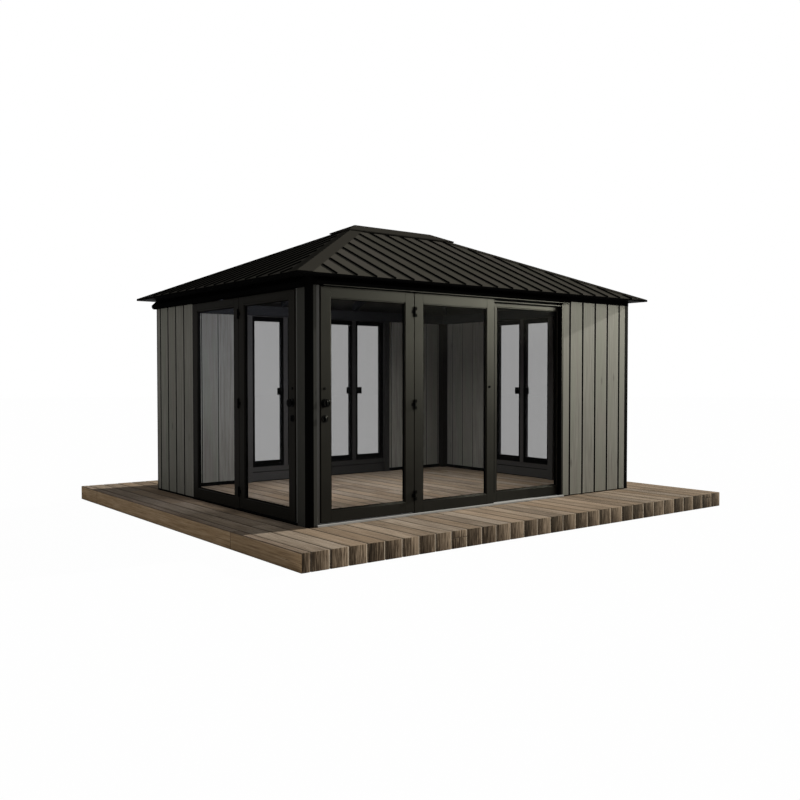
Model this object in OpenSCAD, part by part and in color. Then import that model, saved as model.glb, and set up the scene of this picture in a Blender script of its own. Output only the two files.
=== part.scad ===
// Garden office pod: a hipped metal roof on four posts, closed with board panels,
// glazed doors on two sides and twin casement windows, standing on a timber deck.
// Millimetres, +Z up. Origin at the middle of the deck's underside, front towards -Y.

/* [Pod body] */
// Length of the long front wall, outside
pod_l = 4800; // [4400:20:5400]
// Depth of the short side wall, outside
pod_d = 3600; // [3400:20:4200]
// Underside of the eave above the deck
eave_h = 2391; // [2300:5:2500]
// Thickness of the board walls
wall_t = 65; // [55:5:80]
// Width of one wall module
module_w = 1160; // [1120:5:1180]
// Width of one cladding board
board_w = 232; // [180:2:260]
// Width of the groove between two boards, outside
groove_w = 22; // [10:1:30]
// Depth of that groove
groove_d = 15; // [8:1:20]
// Width of the joint between two boards in the room
joint_w = 10; // [6:1:16]
// Depth of that joint
joint_d = 8; // [4:1:12]
// Chamfer on the long edges of the boards
board_chamfer = 3; // [1:0.5:5]
// Height of the sole plate under the boards
sole_h = 10; // [6:1:20]
// Height of the skirting in the room
skirting_h = 45; // [30:5:80]
// Thickness of the skirting
skirting_t = 14; // [8:1:25]
// Height of the plate on top of the boards
plate_h = 55; // [40:5:70]

/* [Corner posts] */
// Width of the inner corner posts
post_w = 100; // [80:5:120]
// Front face width of the front left post
post_face = 95; // [85:5:110]
// Side face width of the front left post
post_side = 198; // [150:2:230]
// Radius of its rounded outer corner
post_r = 60; // [30:5:80]
// Height of the roof beams inside the walls
beam_h = 131; // [110:1:160]
// Width of the posts beside the windows in the room
cover_w = 90; // [70:2:110]
// How far those posts stand out from the boards
cover_out = 45; // [25:1:70]
// Groove between a corner trim and the boards
reveal = 6; // [3:1:10]

/* [Doors] */
// Width of the strips between corner post and doors
jamb_w = 40; // [30:5:50]
// Gap between a door and what stands next to it
door_gap = 8; // [7:1:12]
// Thickness of a door leaf
leaf_t = 45; // [38:1:55]
// Width of the stiles
stile_w = 112; // [90:2:130]
// Width of the bottom rail
bottom_w = 112; // [90:2:140]
// Width of the top rail
top_w = 84; // [60:2:120]
// Width of the top rail on the recessed leaf
slim_w = 40; // [30:2:60]
// Width of a door leaf
leaf_w = 1140; // [1080:2:1150]
// Distance from an opening leaf down to the sill track
leaf_lift = 10; // [8:1:16]
// From the top of the boards down to the leaves
leaf_drop = 57; // [56:1:140]
// Set back of the recessed leaf behind its neighbour
recess_gap = 5; // [3:1:10]
// Width of the jamb beside the board wall
end_jamb_w = 65; // [50:5:80]
// Thickness of the glass
glass_t = 20; // [12:2:24]
// Width of the bead that holds the glass
bead_w = 12; // [8:1:20]
// Chamfer round the opening of a leaf or sash
rim = 4; // [2:0.5:7]
// Height of the door sill track
sill_h = 20; // [12:1:22]
// How far the sill stands out in front of the wall
sill_out = 45; // [20:5:70]

/* [Hinges and locks] */
// Height of a hinge
hinge_h = 105; // [80:5:130]
// Radius of a hinge knuckle
knuckle_r = 9; // [7:1:12]
// Radius of the hinge pin
pin_r = 4; // [3:0.5:5]
// Clearance between pin and knuckle
pin_clear = 0.3; // [0.1:0.1:0.5]
// Centre height of the lowest hinge
hinge_low = 205; // [150:5:300]
// Centre height of the middle hinge
hinge_mid = 1150; // [1000:10:1300]
// Centre height of the top hinge
hinge_top = 2105; // [1900:5:2150]
// Height of the door knob
knob_z = 1184; // [1000:5:1300]
// Radius of the door knob's rose
knob_r = 42; // [36:1:50]
// How far the knob stands out from the leaf
knob_out = 46; // [40:1:70]
// Gap between the rose and the leaf's free edge
knob_edge = 1; // [0:1:20]
// Distance from the knob up to the latch stud
stud_up = 140; // [110:1:170]
// Radius of the latch stud
stud_r = 13; // [9:1:18]
// Distance from the knob down to the key plate
key_down = 150; // [120:1:180]
// Radius of the key plate
key_r = 36; // [28:1:42]
// Distance of the middle leaf's stud from its edge
catch_in = 73; // [50:1:90]

/* [Windows] */
// Width of the glass in one casement
pane_w = 412; // [380:2:430]
// Width between the two panes
mullion_w = 135; // [120:1:150]
// Bottom of the glass above the deck
pane_z = 280; // [270:2:340]
// From the top of the boards down to the glass
window_head = 146; // [120:2:180]
// Top of the kick panel under the sashes
kick_top = 125; // [100:5:150]
// Bottom of the sashes above the deck
sash_z = 200; // [180:5:220]
// Width of a sash stile beside the glass
sash_w = 64; // [50:2:66]
// Depth of the step between frame and sash
sash_step = 10; // [6:1:14]
// Centre height of the window plates
plate_z = 1232; // [1000:5:1400]
// Reach of a plate from the middle of the window over the glass
plate_l = 134; // [100:2:160]
// Height of a plate
plate_tall = 96; // [60:2:120]
// Thickness of a plate
plate_thick = 20; // [12:1:24]
// Width of the cover strip on the meeting stiles
strip_w = 66; // [40:2:80]
// Thickness of that strip
strip_t = 26; // [14:1:32]

/* [Roof] */
// Eave overhang at the two ends
eave_end = 200; // [150:5:300]
// Eave overhang at front and back
eave_side = 143; // [100:1:250]
// Rise of the roof from eave to ridge
roof_rise = 860; // [700:10:1000]
// Length of the ridge
ridge_l = 1200; // [900:10:1500]
// Thickness of the roof sheet
sheet_t = 10; // [6:1:16]
// Thickness of the soffit under the eave
soffit_t = 8; // [5:1:12]
// Spacing of the standing seams
seam_pitch = 234.3; // [200:0.1:300]
// Shift of the seams from the middle of the front
seam_shift = -60; // [-100:5:100]
// Height of a standing seam
seam_h = 13; // [8:1:24]
// Width of a standing seam
seam_w = 12; // [8:1:18]
// Distance from the eave to a seam's lower end
seam_in = 24; // [5:1:50]
// Least distance of a seam from the foot of a hip
seam_margin = 100; // [60:5:200]
// Width of the hip flashing on each slope
hip_w = 150; // [100:5:200]
// Half depth of the raised ridge cap
cap_half = 220; // [160:10:300]
// Lift of the cap above the roof sheet
cap_lift = 14; // [8:1:24]
// Thickness of the cap sheet
cap_t = 12; // [8:1:16]
// Width of a rafter
rafter_w = 60; // [40:5:80]
// Depth of a rafter
rafter_h = 90; // [70:5:120]

/* [Head rail] */
// Height of the rounded rail above the doors
rail_h = 105; // [90:5:110]
// How far that rail stands out from the wall
rail_out = 62; // [50:2:90]
// Thickness of the cap on its free end
rail_cap = 6; // [4:1:12]
// How far the cap stands proud of the rail
rail_lip = 3; // [1:0.5:5]

/* [Deck] */
// Length of the deck
deck_l = 6070; // [5800:10:6600]
// Depth of the deck
deck_d = 5492; // [5200:4:6000]
// Thickness of the deck
deck_t = 169; // [120:1:200]
// Deck beyond the pod on the left
deck_left = 660; // [500:10:900]
// Deck beyond the pod at the front
deck_front = 946; // [700:2:1100]
// Width of the board that closes the left end
edge_w = 91; // [60:1:120]

/* [Hidden] */

$fn = 48;
metal = "#3b3934";
board = "#8a8880";
timber = "#8c7962";
roofing = "#3d3b34";
pane_tint = "#9aa3a5";
alloy = "#a7a7a5";

// module lines, counted from the post at the front left
line_0 = post_face;
line_1 = line_0 + module_w;
line_2 = line_0 + 2 * module_w;
line_3 = line_0 + 3 * module_w;
right_gap = (pod_d - module_w) / 2;
right_in = pod_l - wall_t;
back_in = pod_d - wall_t;
corner_trim = 20;
wall_top = eave_h - plate_h;
pane_top = wall_top - window_head;
leaf_top = wall_top - leaf_drop;
beam_z = eave_h - beam_h;

// front leaves, then side leaves counted from the same corner
front_x0 = post_face + jamb_w + door_gap;
front_x1 = front_x0 + leaf_w + door_gap;
front_x2 = front_x1 + leaf_w + door_gap;
front_x3 = line_3 - end_jamb_w;
side_y0 = post_side + jamb_w + door_gap;
side_y1 = side_y0 + leaf_w + door_gap;
side_line = side_y1 + leaf_w + door_gap;
leaf_z = sill_h + leaf_lift;
recess = leaf_t + recess_gap;

// hinge axes, just outside the leaf faces
hinge_x = front_x1 - door_gap / 2;
hinge_y = side_y1 - door_gap / 2;
axis_out = knuckle_r + 1;
knob_in = knob_r + knob_edge;
hinge_heights = [hinge_low, hinge_mid, hinge_top];

// roof planes
mid_x = pod_l / 2;
mid_y = pod_d / 2;
run_side = mid_y + eave_side;
run_end = mid_x + eave_end - ridge_l / 2;
tip_z = eave_h + soffit_t + sheet_t * norm([run_side, roof_rise]) / run_side;
function side_z(y) = tip_z + (y + eave_side) * roof_rise / run_side;
function end_z(x) = tip_z + (x + eave_end) * roof_rise / run_end;
slope_side = atan(roof_rise / run_side);
slope_end = atan(roof_rise / run_end);
slope_len_side = norm([run_side, roof_rise]);
slope_len_end = norm([run_end, roof_rise]);
hip_gap = 12;
seam_end = 4;
hip_run = norm([run_end, run_side]);
hip_on_side = hip_w * hip_run / run_side;
hip_on_end = hip_w * hip_run / run_end;
cap_half_end = cap_half * run_end / run_side;
flashing_t = 6;
hip_under_cap = 30;
seat_gap = 0.3;
jamb_step = 12;
bead_step = 9;

module on_deck() {
    translate([deck_left - deck_l / 2, deck_front - deck_d / 2, deck_t]) children();
}

// Deck

module deck_platform() {
    color(timber) translate([edge_w - deck_l / 2, -deck_d / 2, 0])
        cube([deck_l - edge_w, deck_d, deck_t]);
}

module deck_edge_boards() {
    color(timber) translate([-deck_l / 2, -deck_d / 2, 0]) cube([edge_w, deck_d, deck_t]);
}

// Posts and beams

module post_front_left() {
    color(metal) on_deck() linear_extrude(eave_h) difference() {
        square([post_face, post_side]);
        difference() {
            translate([-1, -1]) square(post_r + 1);
            translate([post_r, post_r]) circle(post_r);
        }
        translate([wall_t, wall_t]) square([post_face, post_side]);
    }
}

module square_post(x, y) {
    color(metal) on_deck() translate([x, y, 0]) cube([post_w, post_w, beam_z]);
}

// trim on an outer corner at [0, 0], with a groove where it meets the boards on both faces
module corner_trim_post() {
    color(metal) linear_extrude(wall_top) difference() {
        square(wall_t);
        translate([wall_t - reveal, -1]) square([reveal + 1, reveal + 1]);
        translate([-1, wall_t - reveal]) square([reveal + 1, reveal + 1]);
    }
}

module post_front_right() {
    square_post(right_in - post_w, wall_t);
    on_deck() translate([pod_l, 0, 0]) mirror([1, 0, 0]) corner_trim_post();
}

module post_back_left() {
    square_post(wall_t, back_in - post_w);
    color(metal) on_deck() translate([0, pod_d - corner_trim, 0])
        cube([wall_t, corner_trim, wall_top]);
}

module post_back_right() {
    square_post(right_in - post_w, back_in - post_w);
    on_deck() translate([pod_l, pod_d, 0]) rotate(180) corner_trim_post();
}

// a plate on the wall along +X, with the deeper roof beam behind it between two insets
module wall_beam(length, start, end) {
    translate([0, 0, wall_top]) cube([length, wall_t, plate_h]);
    translate([start, wall_t, beam_z]) cube([length - start - end, post_w, beam_h]);
}

module beam_front() {
    color(metal) on_deck() translate([post_face, 0, 0])
        wall_beam(pod_l - post_face, 0, wall_t);
}

module beam_back() {
    color(metal) on_deck() translate([pod_l, pod_d, 0]) rotate(180)
        wall_beam(pod_l, wall_t, wall_t);
}

module beam_left() {
    color(metal) on_deck() translate([0, back_in, 0]) rotate(-90)
        wall_beam(back_in - post_side, post_w, 0);
}

module beam_right() {
    color(metal) on_deck() translate([pod_l, wall_t, 0]) rotate(90)
        wall_beam(pod_d - 2 * wall_t, post_w, post_w);
}

// a drop shaped rail along +X: slanted top, full belly and rounded lower lip
module rail_profile(length, grow = 0) {
    belly = rail_h * 0.3;
    out = rail_out + grow;
    low = eave_h - rail_h - grow;
    rotate([90, 0, 90]) linear_extrude(length) difference() {
        union() {
            polygon([[0, eave_h], [0, low], [belly - out, low], [-out, low + belly],
                [-out, low + 1.5 * belly]]);
            translate([belly - out, low + belly]) circle(belly);
        }
        translate([0, eave_h - 2 * rail_h]) square([2 * rail_h, 3 * rail_h]);
    }
}

module head_rail_front() {
    length = line_3 + rail_out - post_r;
    color(metal) on_deck() translate([post_r, 0, 0]) {
        rail_profile(length);
        translate([length - rail_cap, 0, 0]) rail_profile(rail_cap, rail_lip);
    }
}

module head_rail_left() {
    color(metal) on_deck() translate([0, pod_d, 0]) rotate(-90) {
        rail_profile(pod_d - post_r);
        rail_profile(rail_cap, rail_lip);
    }
}

// sole plate under a wall along +X and the skirting in front of it, between two posts
module sole(length, height, start, end) {
    cube([length, wall_t, height]);
    translate([start, wall_t, 0]) cube([length - start - end, skirting_t, skirting_h]);
}

module sole_rails() {
    beside = cover_w / 2;
    color(metal) on_deck() {
        translate([line_3, 0, 0]) sole(right_in - line_3, sole_h, 0, post_w);
        translate([0, pod_d - corner_trim, 0]) rotate(-90)
            sole(pod_d - corner_trim - side_line, sill_h, post_w + wall_t - corner_trim, 0);
        translate([right_in, pod_d, 0]) rotate(180) {
            sole(right_in - line_3, sole_h, post_w, beside);
            translate([right_in - line_3, 0, 0]) cube([line_3 - line_1, wall_t, sole_h]);
            translate([right_in - line_1, 0, 0]) sole(line_1 - wall_t, sole_h, beside, post_w);
        }
        translate([pod_l, wall_t, 0]) rotate(90) {
            sole(right_gap - wall_t, sole_h, post_w, beside);
            translate([right_gap - wall_t, 0, 0]) cube([module_w, wall_t, sole_h]);
            translate([pod_d - right_gap - wall_t, 0, 0])
                sole(right_gap - wall_t, sole_h, beside, post_w);
        }
    }
}

// Doors

module door_sills() {
    color(alloy) on_deck() {
        translate([post_face, -sill_out, 0])
            cube([line_3 - post_face, wall_t + post_w + sill_out, sill_h]);
        translate([-sill_out, post_side, 0])
            cube([wall_t + sill_out, side_line - post_side, sill_h]);
    }
}

module door_jambs() {
    color(metal) on_deck() {
        translate([post_face, jamb_step, sill_h])
            cube([jamb_w, wall_t - jamb_step, wall_top - sill_h]);
        translate([jamb_step, post_side, sill_h])
            cube([wall_t - jamb_step, jamb_w, wall_top - sill_h]);
        translate([front_x3, 0, sill_h]) cube([end_jamb_w, leaf_t, wall_top - sill_h]);
    }
}

// what a chamfer takes from the rim of a w by h opening whose corner is at the origin,
// on a face at y = face that looks towards -Y
module rim_cut(w, h, face) {
    wide = rim + 1;
    outer = [[-wide, face - 1, -wide], [w + wide, face - 1, -wide],
        [w + wide, face - 1, h + wide], [-wide, face - 1, h + wide]];
    inner = [[0, face + rim, 0], [w, face + rim, 0], [w, face + rim, h], [0, face + rim, h]];
    polyhedron(points = concat(outer, inner), faces = [[0, 3, 2, 1], [4, 5, 6, 7],
        [0, 1, 5, 4], [1, 2, 6, 5], [2, 3, 7, 6], [3, 0, 4, 7]]);
}

// the same chamfer on both faces of a slab between y = 0 and y = thick, set in by depth
module rim_cuts(w, h, thick, depth) {
    rim_cut(w, h, depth);
    translate([0, thick, 0]) mirror([0, 1, 0]) rim_cut(w, h, depth);
}

// one glazed leaf standing in the XZ plane, outer face at y = 0
module leaf_frame(w, h, top) {
    glass_h = h - bottom_w - top;
    difference() {
        cube([w, leaf_t, h]);
        translate([stile_w, -1, bottom_w]) cube([w - 2 * stile_w, leaf_t + 2, glass_h]);
        translate([stile_w, 0, bottom_w]) rim_cuts(w - 2 * stile_w, glass_h, leaf_t, 0);
    }
    difference() {
        translate([stile_w, bead_step, bottom_w])
            cube([w - 2 * stile_w, leaf_t - 2 * bead_step, glass_h]);
        translate([stile_w + bead_w, -1, bottom_w + bead_w])
            cube([w - 2 * (stile_w + bead_w), leaf_t + 2, glass_h - 2 * bead_w]);
    }
}

module leaf_glass(w, h, top) {
    inset = stile_w + bead_w;
    translate([inset, (leaf_t - glass_t) / 2, bottom_w + bead_w])
        cube([w - 2 * inset, glass_t, h - bottom_w - top - 2 * bead_w]);
}

// places a leaf on the front, or turned to face -X on the left wall
module on_front(x, z, setback = 0) {
    on_deck() translate([x, setback, z]) children();
}

module on_left(y, z) {
    on_deck() translate([0, y + leaf_w, z]) rotate(-90) children();
}

door_h = leaf_top - leaf_z;
fixed_h = leaf_top - sill_h;
recess_w = line_3 - front_x2;
recess_h = beam_z - sill_h;

module front_leaf_middle() {
    color(metal) {
        on_front(front_x1, sill_h) leaf_frame(leaf_w, fixed_h, top_w);
        on_front(front_x1 + leaf_w - catch_in, knob_z + stud_up) rotate([90, 0, 0]) stud();
        front_hinges(1);
    }
}

module front_leaf_right() {
    color(metal) on_front(front_x2, sill_h, recess) leaf_frame(recess_w, recess_h, slim_w);
}

module left_leaf_back() {
    color(metal) {
        on_left(side_y1, sill_h) leaf_frame(leaf_w, fixed_h, top_w);
        side_hinges(1);
    }
}

module fixed_leaf_glass() {
    color(pane_tint, 0.35) {
        on_front(front_x1, sill_h) leaf_glass(leaf_w, fixed_h, top_w);
        on_front(front_x2, sill_h, recess) leaf_glass(recess_w, recess_h, slim_w);
        on_left(side_y1, sill_h) leaf_glass(leaf_w, fixed_h, top_w);
    }
}

// Hinges: flat plates on the leaf faces with knuckles round one pin

plate_w = 34;
plate_t = 3;
knuckle_third = hinge_h / 3;

// hinge on a wall that faces -Y, pin at the origin; side is 1 for the fixed leaf
module hinge_half(side) {
    for (z = hinge_heights) translate([0, -axis_out, z - hinge_h / 2]) {
        levels = side > 0 ? [0, 2] : [1];
        for (level = levels) translate([0, 0, level * knuckle_third + 0.5]) {
            difference() {
                union() {
                    cylinder(r = knuckle_r, h = knuckle_third - 1);
                    translate([side > 0 ? 0 : -plate_w, axis_out - 1 - plate_t, 0])
                        cube([plate_w, plate_t + 1, knuckle_third - 1]);
                }
                translate([0, 0, -1]) cylinder(r = pin_r + pin_clear, h = hinge_h);
            }
        }
    }
}

module pins() {
    for (z = hinge_heights) translate([0, -axis_out, z - hinge_h / 2])
        cylinder(r = pin_r, h = hinge_h);
}

module front_hinges(side) {
    on_deck() translate([hinge_x, 0, 0]) hinge_half(side);
}

module side_hinges(side) {
    on_deck() translate([0, hinge_y, 0]) rotate(-90) mirror([1, 0, 0]) hinge_half(side);
}

module door_hinge_pins() {
    color(metal) on_deck() {
        translate([hinge_x, 0, 0]) pins();
        translate([0, hinge_y, 0]) rotate(-90) pins();
    }
}

module front_door_leaf() {
    color(metal) {
        on_front(front_x0, leaf_z) leaf_frame(leaf_w, door_h, top_w);
        front_hinges(-1);
    }
}

module front_door_glass() {
    color(pane_tint, 0.35) on_front(front_x0, leaf_z) leaf_glass(leaf_w, door_h, top_w);
}

// stud, knob and key plate turned about +Z, standing on a face at z = 0
module stud() {
    height = stud_r * 0.8;
    rotate_extrude() polygon([[0, 0], [stud_r, 0], [stud_r, height - 3], [stud_r - 3, height],
        [0, height]]);
}

// round rose, short neck and a dished knob with a raised rim
module knob() {
    rose_h = 8;
    neck_r = knob_r * 0.4;
    head_r = knob_r - 3;
    rim_in = head_r - 8;
    rotate_extrude() polygon([[0, 0], [knob_r, 0], [knob_r, rose_h - 3], [knob_r - 3, rose_h],
        [neck_r, rose_h], [neck_r, knob_out - 26], [head_r - 5, knob_out - 20],
        [head_r, knob_out - 15], [head_r, knob_out - 4], [head_r - 4, knob_out],
        [rim_in, knob_out], [rim_in - 4, knob_out - 9], [0, knob_out - 9]]);
    // upright thumb grip in the dish
    translate([0, 0, knob_out - 10]) linear_extrude(13) grip_shape(12, 2 * rim_in - 12);
}

module grip_shape(w, h) {
    translate([-w / 2, (w - h) / 2]) square([w, h - w]);
    for (y = [(w - h) / 2, (h - w) / 2]) translate([0, y]) circle(w / 2);
}

// round plate with a thumb turn between two upright slots
module key_plate() {
    plate = 9;
    turn_w = 14;
    turn_h = 1.45 * key_r;
    slot = 6;
    difference() {
        rotate_extrude() polygon([[0, 0], [key_r, 0], [key_r, plate - 3], [key_r - 3, plate],
            [0, plate]]);
        for (x = [-turn_w / 2 - slot, turn_w / 2])
            translate([x, -turn_h / 2, plate - 5]) cube([slot, turn_h, plate]);
    }
    translate([-turn_w / 2, -turn_h / 2, plate - 6]) cube([turn_w, turn_h, 20]);
}

// the three of them on a wall that faces -Y
module lock_set() {
    rotate([90, 0, 0]) {
        translate([0, knob_z + stud_up, 0]) stud();
        translate([0, knob_z, 0]) knob();
        translate([0, knob_z - key_down, 0]) key_plate();
    }
}

module front_door_lock() {
    color(metal) on_deck() translate([front_x0 + knob_in, 0, 0]) lock_set();
}

module side_door_leaf() {
    color(metal) {
        on_left(side_y0, leaf_z) leaf_frame(leaf_w, door_h, top_w);
        side_hinges(-1);
    }
}

module side_door_glass() {
    color(pane_tint, 0.35) on_left(side_y0, leaf_z) leaf_glass(leaf_w, door_h, top_w);
}

module side_door_lock() {
    color(metal) on_deck() translate([0, side_y0 + knob_in, 0]) rotate(-90) lock_set();
}

// Board walls

// what a groove with chamfered edges takes from a face at y = 0, seen from above
module groove_cut(width, depth) {
    half = width / 2;
    wide = half + board_chamfer;
    polygon([[-wide, -1], [-wide, 0], [-half, board_chamfer], [-half, depth], [half, depth],
        [half, board_chamfer], [wide, 0], [wide, -1]]);
}

// a wall slab along +X from z = foot, with half boards at both ends: wide grooves outside
// at y = 0 and narrow joints in the room
module board_wall(length, first_groove, foot = sole_h) {
    color(board) translate([0, 0, foot]) linear_extrude(wall_top - foot) difference() {
        square([length, wall_t]);
        for (x = [first_groove : board_w : length - groove_w]) {
            translate([x, 0]) groove_cut(groove_w, groove_d);
            translate([x, wall_t]) mirror([0, 1]) groove_cut(joint_w, joint_d);
        }
    }
}

module front_wall() {
    on_deck() translate([line_3, 0, 0]) board_wall(right_in - line_3, board_w / 2);
}

module left_wall() {
    on_deck() translate([0, pod_d - corner_trim, 0]) rotate(-90)
        board_wall(pod_d - corner_trim - side_line, board_w / 2 - corner_trim, sill_h);
}

module back_wall_left() {
    on_deck() translate([wall_t, pod_d, 0]) mirror([0, 1, 0])
        board_wall(line_1 - wall_t, board_w / 2 + line_0 - wall_t);
}

module back_wall_right() {
    on_deck() translate([line_3, pod_d, 0]) mirror([0, 1, 0])
        board_wall(right_in - line_3, board_w / 2);
}

module right_wall_front() {
    on_deck() translate([pod_l, wall_t, 0]) rotate(90)
        board_wall(right_gap - wall_t, (right_gap - wall_t) % board_w);
}

module right_wall_back() {
    on_deck() translate([pod_l, pod_d - right_gap, 0]) rotate(90)
        board_wall(right_gap - wall_t, board_w);
}

// Windows

// twin casement in a frame one module wide, outer face at y = 0, standing on the sole plate;
// its sashes step back on both sides and a groove marks the kick panel off
module window_frame() {
    glass_l = module_w / 2 - mullion_w / 2 - pane_w;
    sash_l = glass_l - sash_w;
    sash_across = module_w - 2 * sash_l;
    sash_h = pane_top + sash_w - sash_z;
    pane_h = pane_top - pane_z;
    difference() {
        translate([0, 0, sole_h]) cube([module_w, wall_t, wall_top - sole_h]);
        for (x = [glass_l, module_w / 2 + mullion_w / 2]) translate([x, 0, pane_z]) {
            translate([0, -1, 0]) cube([pane_w, wall_t + 2, pane_h]);
            rim_cuts(pane_w, pane_h, wall_t, sash_step);
        }
        for (y = [-1, wall_t - sash_step])
            translate([sash_l, y, sash_z]) cube([sash_across, sash_step + 1, sash_h]);
        for (y = [-1, wall_t - sash_step - joint_w])
            translate([(module_w - joint_w) / 2, y, sash_z])
                cube([joint_w, sash_step + joint_w + 1, sash_h]);
        for (y = [-1, wall_t - joint_d])
            translate([sash_l, y, kick_top]) cube([sash_across, joint_d + 1, joint_w]);
    }
    // strip over the joint between the sashes, on the room side
    translate([(module_w - strip_w) / 2, wall_t - sash_step, sash_z])
        cube([strip_w, strip_t, sash_h]);
}

// a post in the room, half on the window and half on the boards beside it
module cover_post() {
    translate([-cover_w / 2, wall_t, 0]) cube([cover_w, cover_out, beam_z]);
}

module window_panes() {
    glass_l = module_w / 2 - mullion_w / 2 - pane_w;
    for (x = [glass_l, module_w / 2 + mullion_w / 2])
        translate([x, (wall_t - glass_t) / 2, pane_z]) cube([pane_w, glass_t, pane_top - pane_z]);
}

// flat plates on the room side, one on each sash from the strip out over the glass
module window_handle_pair() {
    for (side = [0, 1]) translate([module_w / 2, wall_t - sash_step, plate_z - plate_tall / 2])
        mirror([side, 0, 0]) translate([strip_w / 2, 0, 0])
            cube([plate_l - strip_w / 2, plate_thick, plate_tall]);
}

module at_back_window(x) {
    on_deck() translate([x, pod_d, 0]) mirror([0, 1, 0]) children();
}

module at_right_window() {
    on_deck() translate([pod_l, right_gap, 0]) rotate(90) children();
}

module back_window_left() {
    color(metal) at_back_window(line_1) {
        window_frame();
        cover_post();
    }
}

module back_window_right() {
    color(metal) at_back_window(line_2) {
        window_frame();
        for (x = [0, module_w]) translate([x, 0, 0]) cover_post();
    }
}

module right_window() {
    color(metal) at_right_window() {
        window_frame();
        for (x = [0, module_w]) translate([x, 0, 0]) cover_post();
    }
}

module window_glass() {
    color(pane_tint, 0.35) {
        at_back_window(line_1) window_panes();
        at_back_window(line_2) window_panes();
        at_right_window() window_panes();
    }
}

module window_handles() {
    color(metal) {
        at_back_window(line_1) window_handle_pair();
        at_back_window(line_2) window_handle_pair();
        at_right_window() window_handle_pair();
    }
}

// Roof

// one slope in its own plane: u along the eave, v up the slope, sheet below z = 0;
// seams stop short of the eave, at the hip flashing, which is stop wide along u, and at the cap
module slope_sheet(eave, ridge, length, stop, cap, seams) {
    top_u = (eave - ridge) / 2;
    hip_in = hip_gap * norm([top_u, length]) / length;
    top_v = ridge > 0 ? length - hip_gap : length * (1 - hip_in / top_u);
    corner_u = hip_in + top_v * top_u / length;
    top_edge = ridge > 0 ? [[eave - corner_u, top_v], [corner_u, top_v]] : [[corner_u, top_v]];
    translate([0, 0, -sheet_t]) linear_extrude(sheet_t)
        polygon(concat([[hip_in, 0], [eave - hip_in, 0]], top_edge));
    for (u = seams) {
        edge = min(u, eave - u) - seam_w / 2;
        rise = min(length - cap, (edge - stop) * length / top_u) - seam_end;
        if (rise > seam_in + 3 * seam_h) translate([u - seam_w / 2, 0, 0]) rotate([90, 0, 90])
            linear_extrude(seam_w) polygon([[seam_in, -1], [seam_in, 0],
                [seam_in + seam_h, seam_h], [rise - seam_h, seam_h], [rise, 0], [rise, -1]]);
    }
}

eave_l = pod_l + 2 * eave_end;
eave_d = pod_d + 2 * eave_side;
front_seams = [for (k = [-12 : 12]) eave_l / 2 + seam_shift + k * seam_pitch];
end_seams = [for (k = [-9 : 9]) eave_d / 2 + k * seam_pitch];

module long_slope() {
    translate([-eave_end, -eave_side, tip_z]) rotate([slope_side, 0, 0])
        slope_sheet(eave_l, ridge_l, slope_len_side, hip_on_side, cap_half / cos(slope_side),
            [for (u = front_seams) if (u > seam_margin && u < eave_l - seam_margin) u]);
}

module short_slope() {
    translate([-eave_end, pod_d + eave_side, tip_z]) rotate(-90) rotate([slope_end, 0, 0])
        slope_sheet(eave_d, 0, slope_len_end, hip_on_end, cap_half_end / cos(slope_end),
            [for (u = end_seams) if (u > seam_margin && u < eave_d - seam_margin) u]);
}

module roof_front() {
    color(roofing) on_deck() long_slope();
}

module roof_back() {
    color(roofing) on_deck() translate([pod_l, pod_d, 0]) rotate(180) long_slope();
}

module roof_left() {
    color(roofing) on_deck() short_slope();
}

module roof_right() {
    color(roofing) on_deck() translate([pod_l, pod_d, 0]) rotate(180) short_slope();
}

// folded strip on one hip, from the eave tip to under the ridge cap
module hip_flashing() {
    top_y = mid_y - cap_half + hip_under_cap;
    top_x = (top_y + eave_side) * run_end / run_side - eave_end;
    base = [
        [-eave_end, -eave_side, tip_z],
        [hip_on_side - eave_end, -eave_side, tip_z],
        [top_x + hip_on_side, top_y, side_z(top_y)],
        [top_x, top_y, side_z(top_y)],
        [top_x, top_y + hip_on_end, end_z(top_x)],
        [-eave_end, hip_on_end - eave_side, tip_z]];
    low = [0, 0, seat_gap];
    high = [0, 0, seat_gap + flashing_t];
    polyhedron(points = concat([for (p = base) p + low], [for (p = base) p + high]), faces = [
        [0, 1, 2, 3], [0, 3, 4, 5], [9, 8, 7, 6], [11, 10, 9, 6],
        [0, 6, 7, 1], [1, 7, 8, 2], [2, 8, 9, 3], [3, 9, 10, 4], [4, 10, 11, 5], [5, 11, 6, 0]]);
}

module hip_flashings() {
    color(roofing) on_deck() for (mx = [0, 1], my = [0, 1])
        translate([mx * pod_l, my * pod_d, 0]) mirror([mx, 0, 0]) mirror([0, my, 0])
            hip_flashing();
}

// a small hipped lid between two heights above the roof planes, set in from the cap's edge
module lid(inset, low, high) {
    y0 = mid_y - cap_half + inset;
    x0 = -eave_end + (y0 + eave_side) * run_end / run_side;
    x1 = pod_l - x0;
    y1 = pod_d - y0;
    rx0 = mid_x - ridge_l / 2;
    rx1 = mid_x + ridge_l / 2;
    z0 = side_z(y0);
    z1 = side_z(mid_y);
    base = [[x0, y0, z0], [x1, y0, z0], [x1, y1, z0], [x0, y1, z0],
        [rx0, mid_y, z1], [rx1, mid_y, z1]];
    polyhedron(
        points = concat([for (p = base) p + [0, 0, low]], [for (p = base) p + [0, 0, high]]),
        faces = [[0, 1, 5, 4], [1, 2, 5], [2, 3, 4, 5], [3, 0, 4],
            [10, 11, 7, 6], [11, 8, 7], [11, 10, 9, 8], [10, 6, 9],
            [6, 7, 1, 0], [7, 8, 2, 1], [8, 9, 3, 2], [9, 6, 0, 3]]);
}

module ridge_cap() {
    color(roofing) on_deck() {
        lid(0, cap_lift, cap_lift + cap_t);
        lid(60, seat_gap, cap_lift + 1);
    }
}

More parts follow.
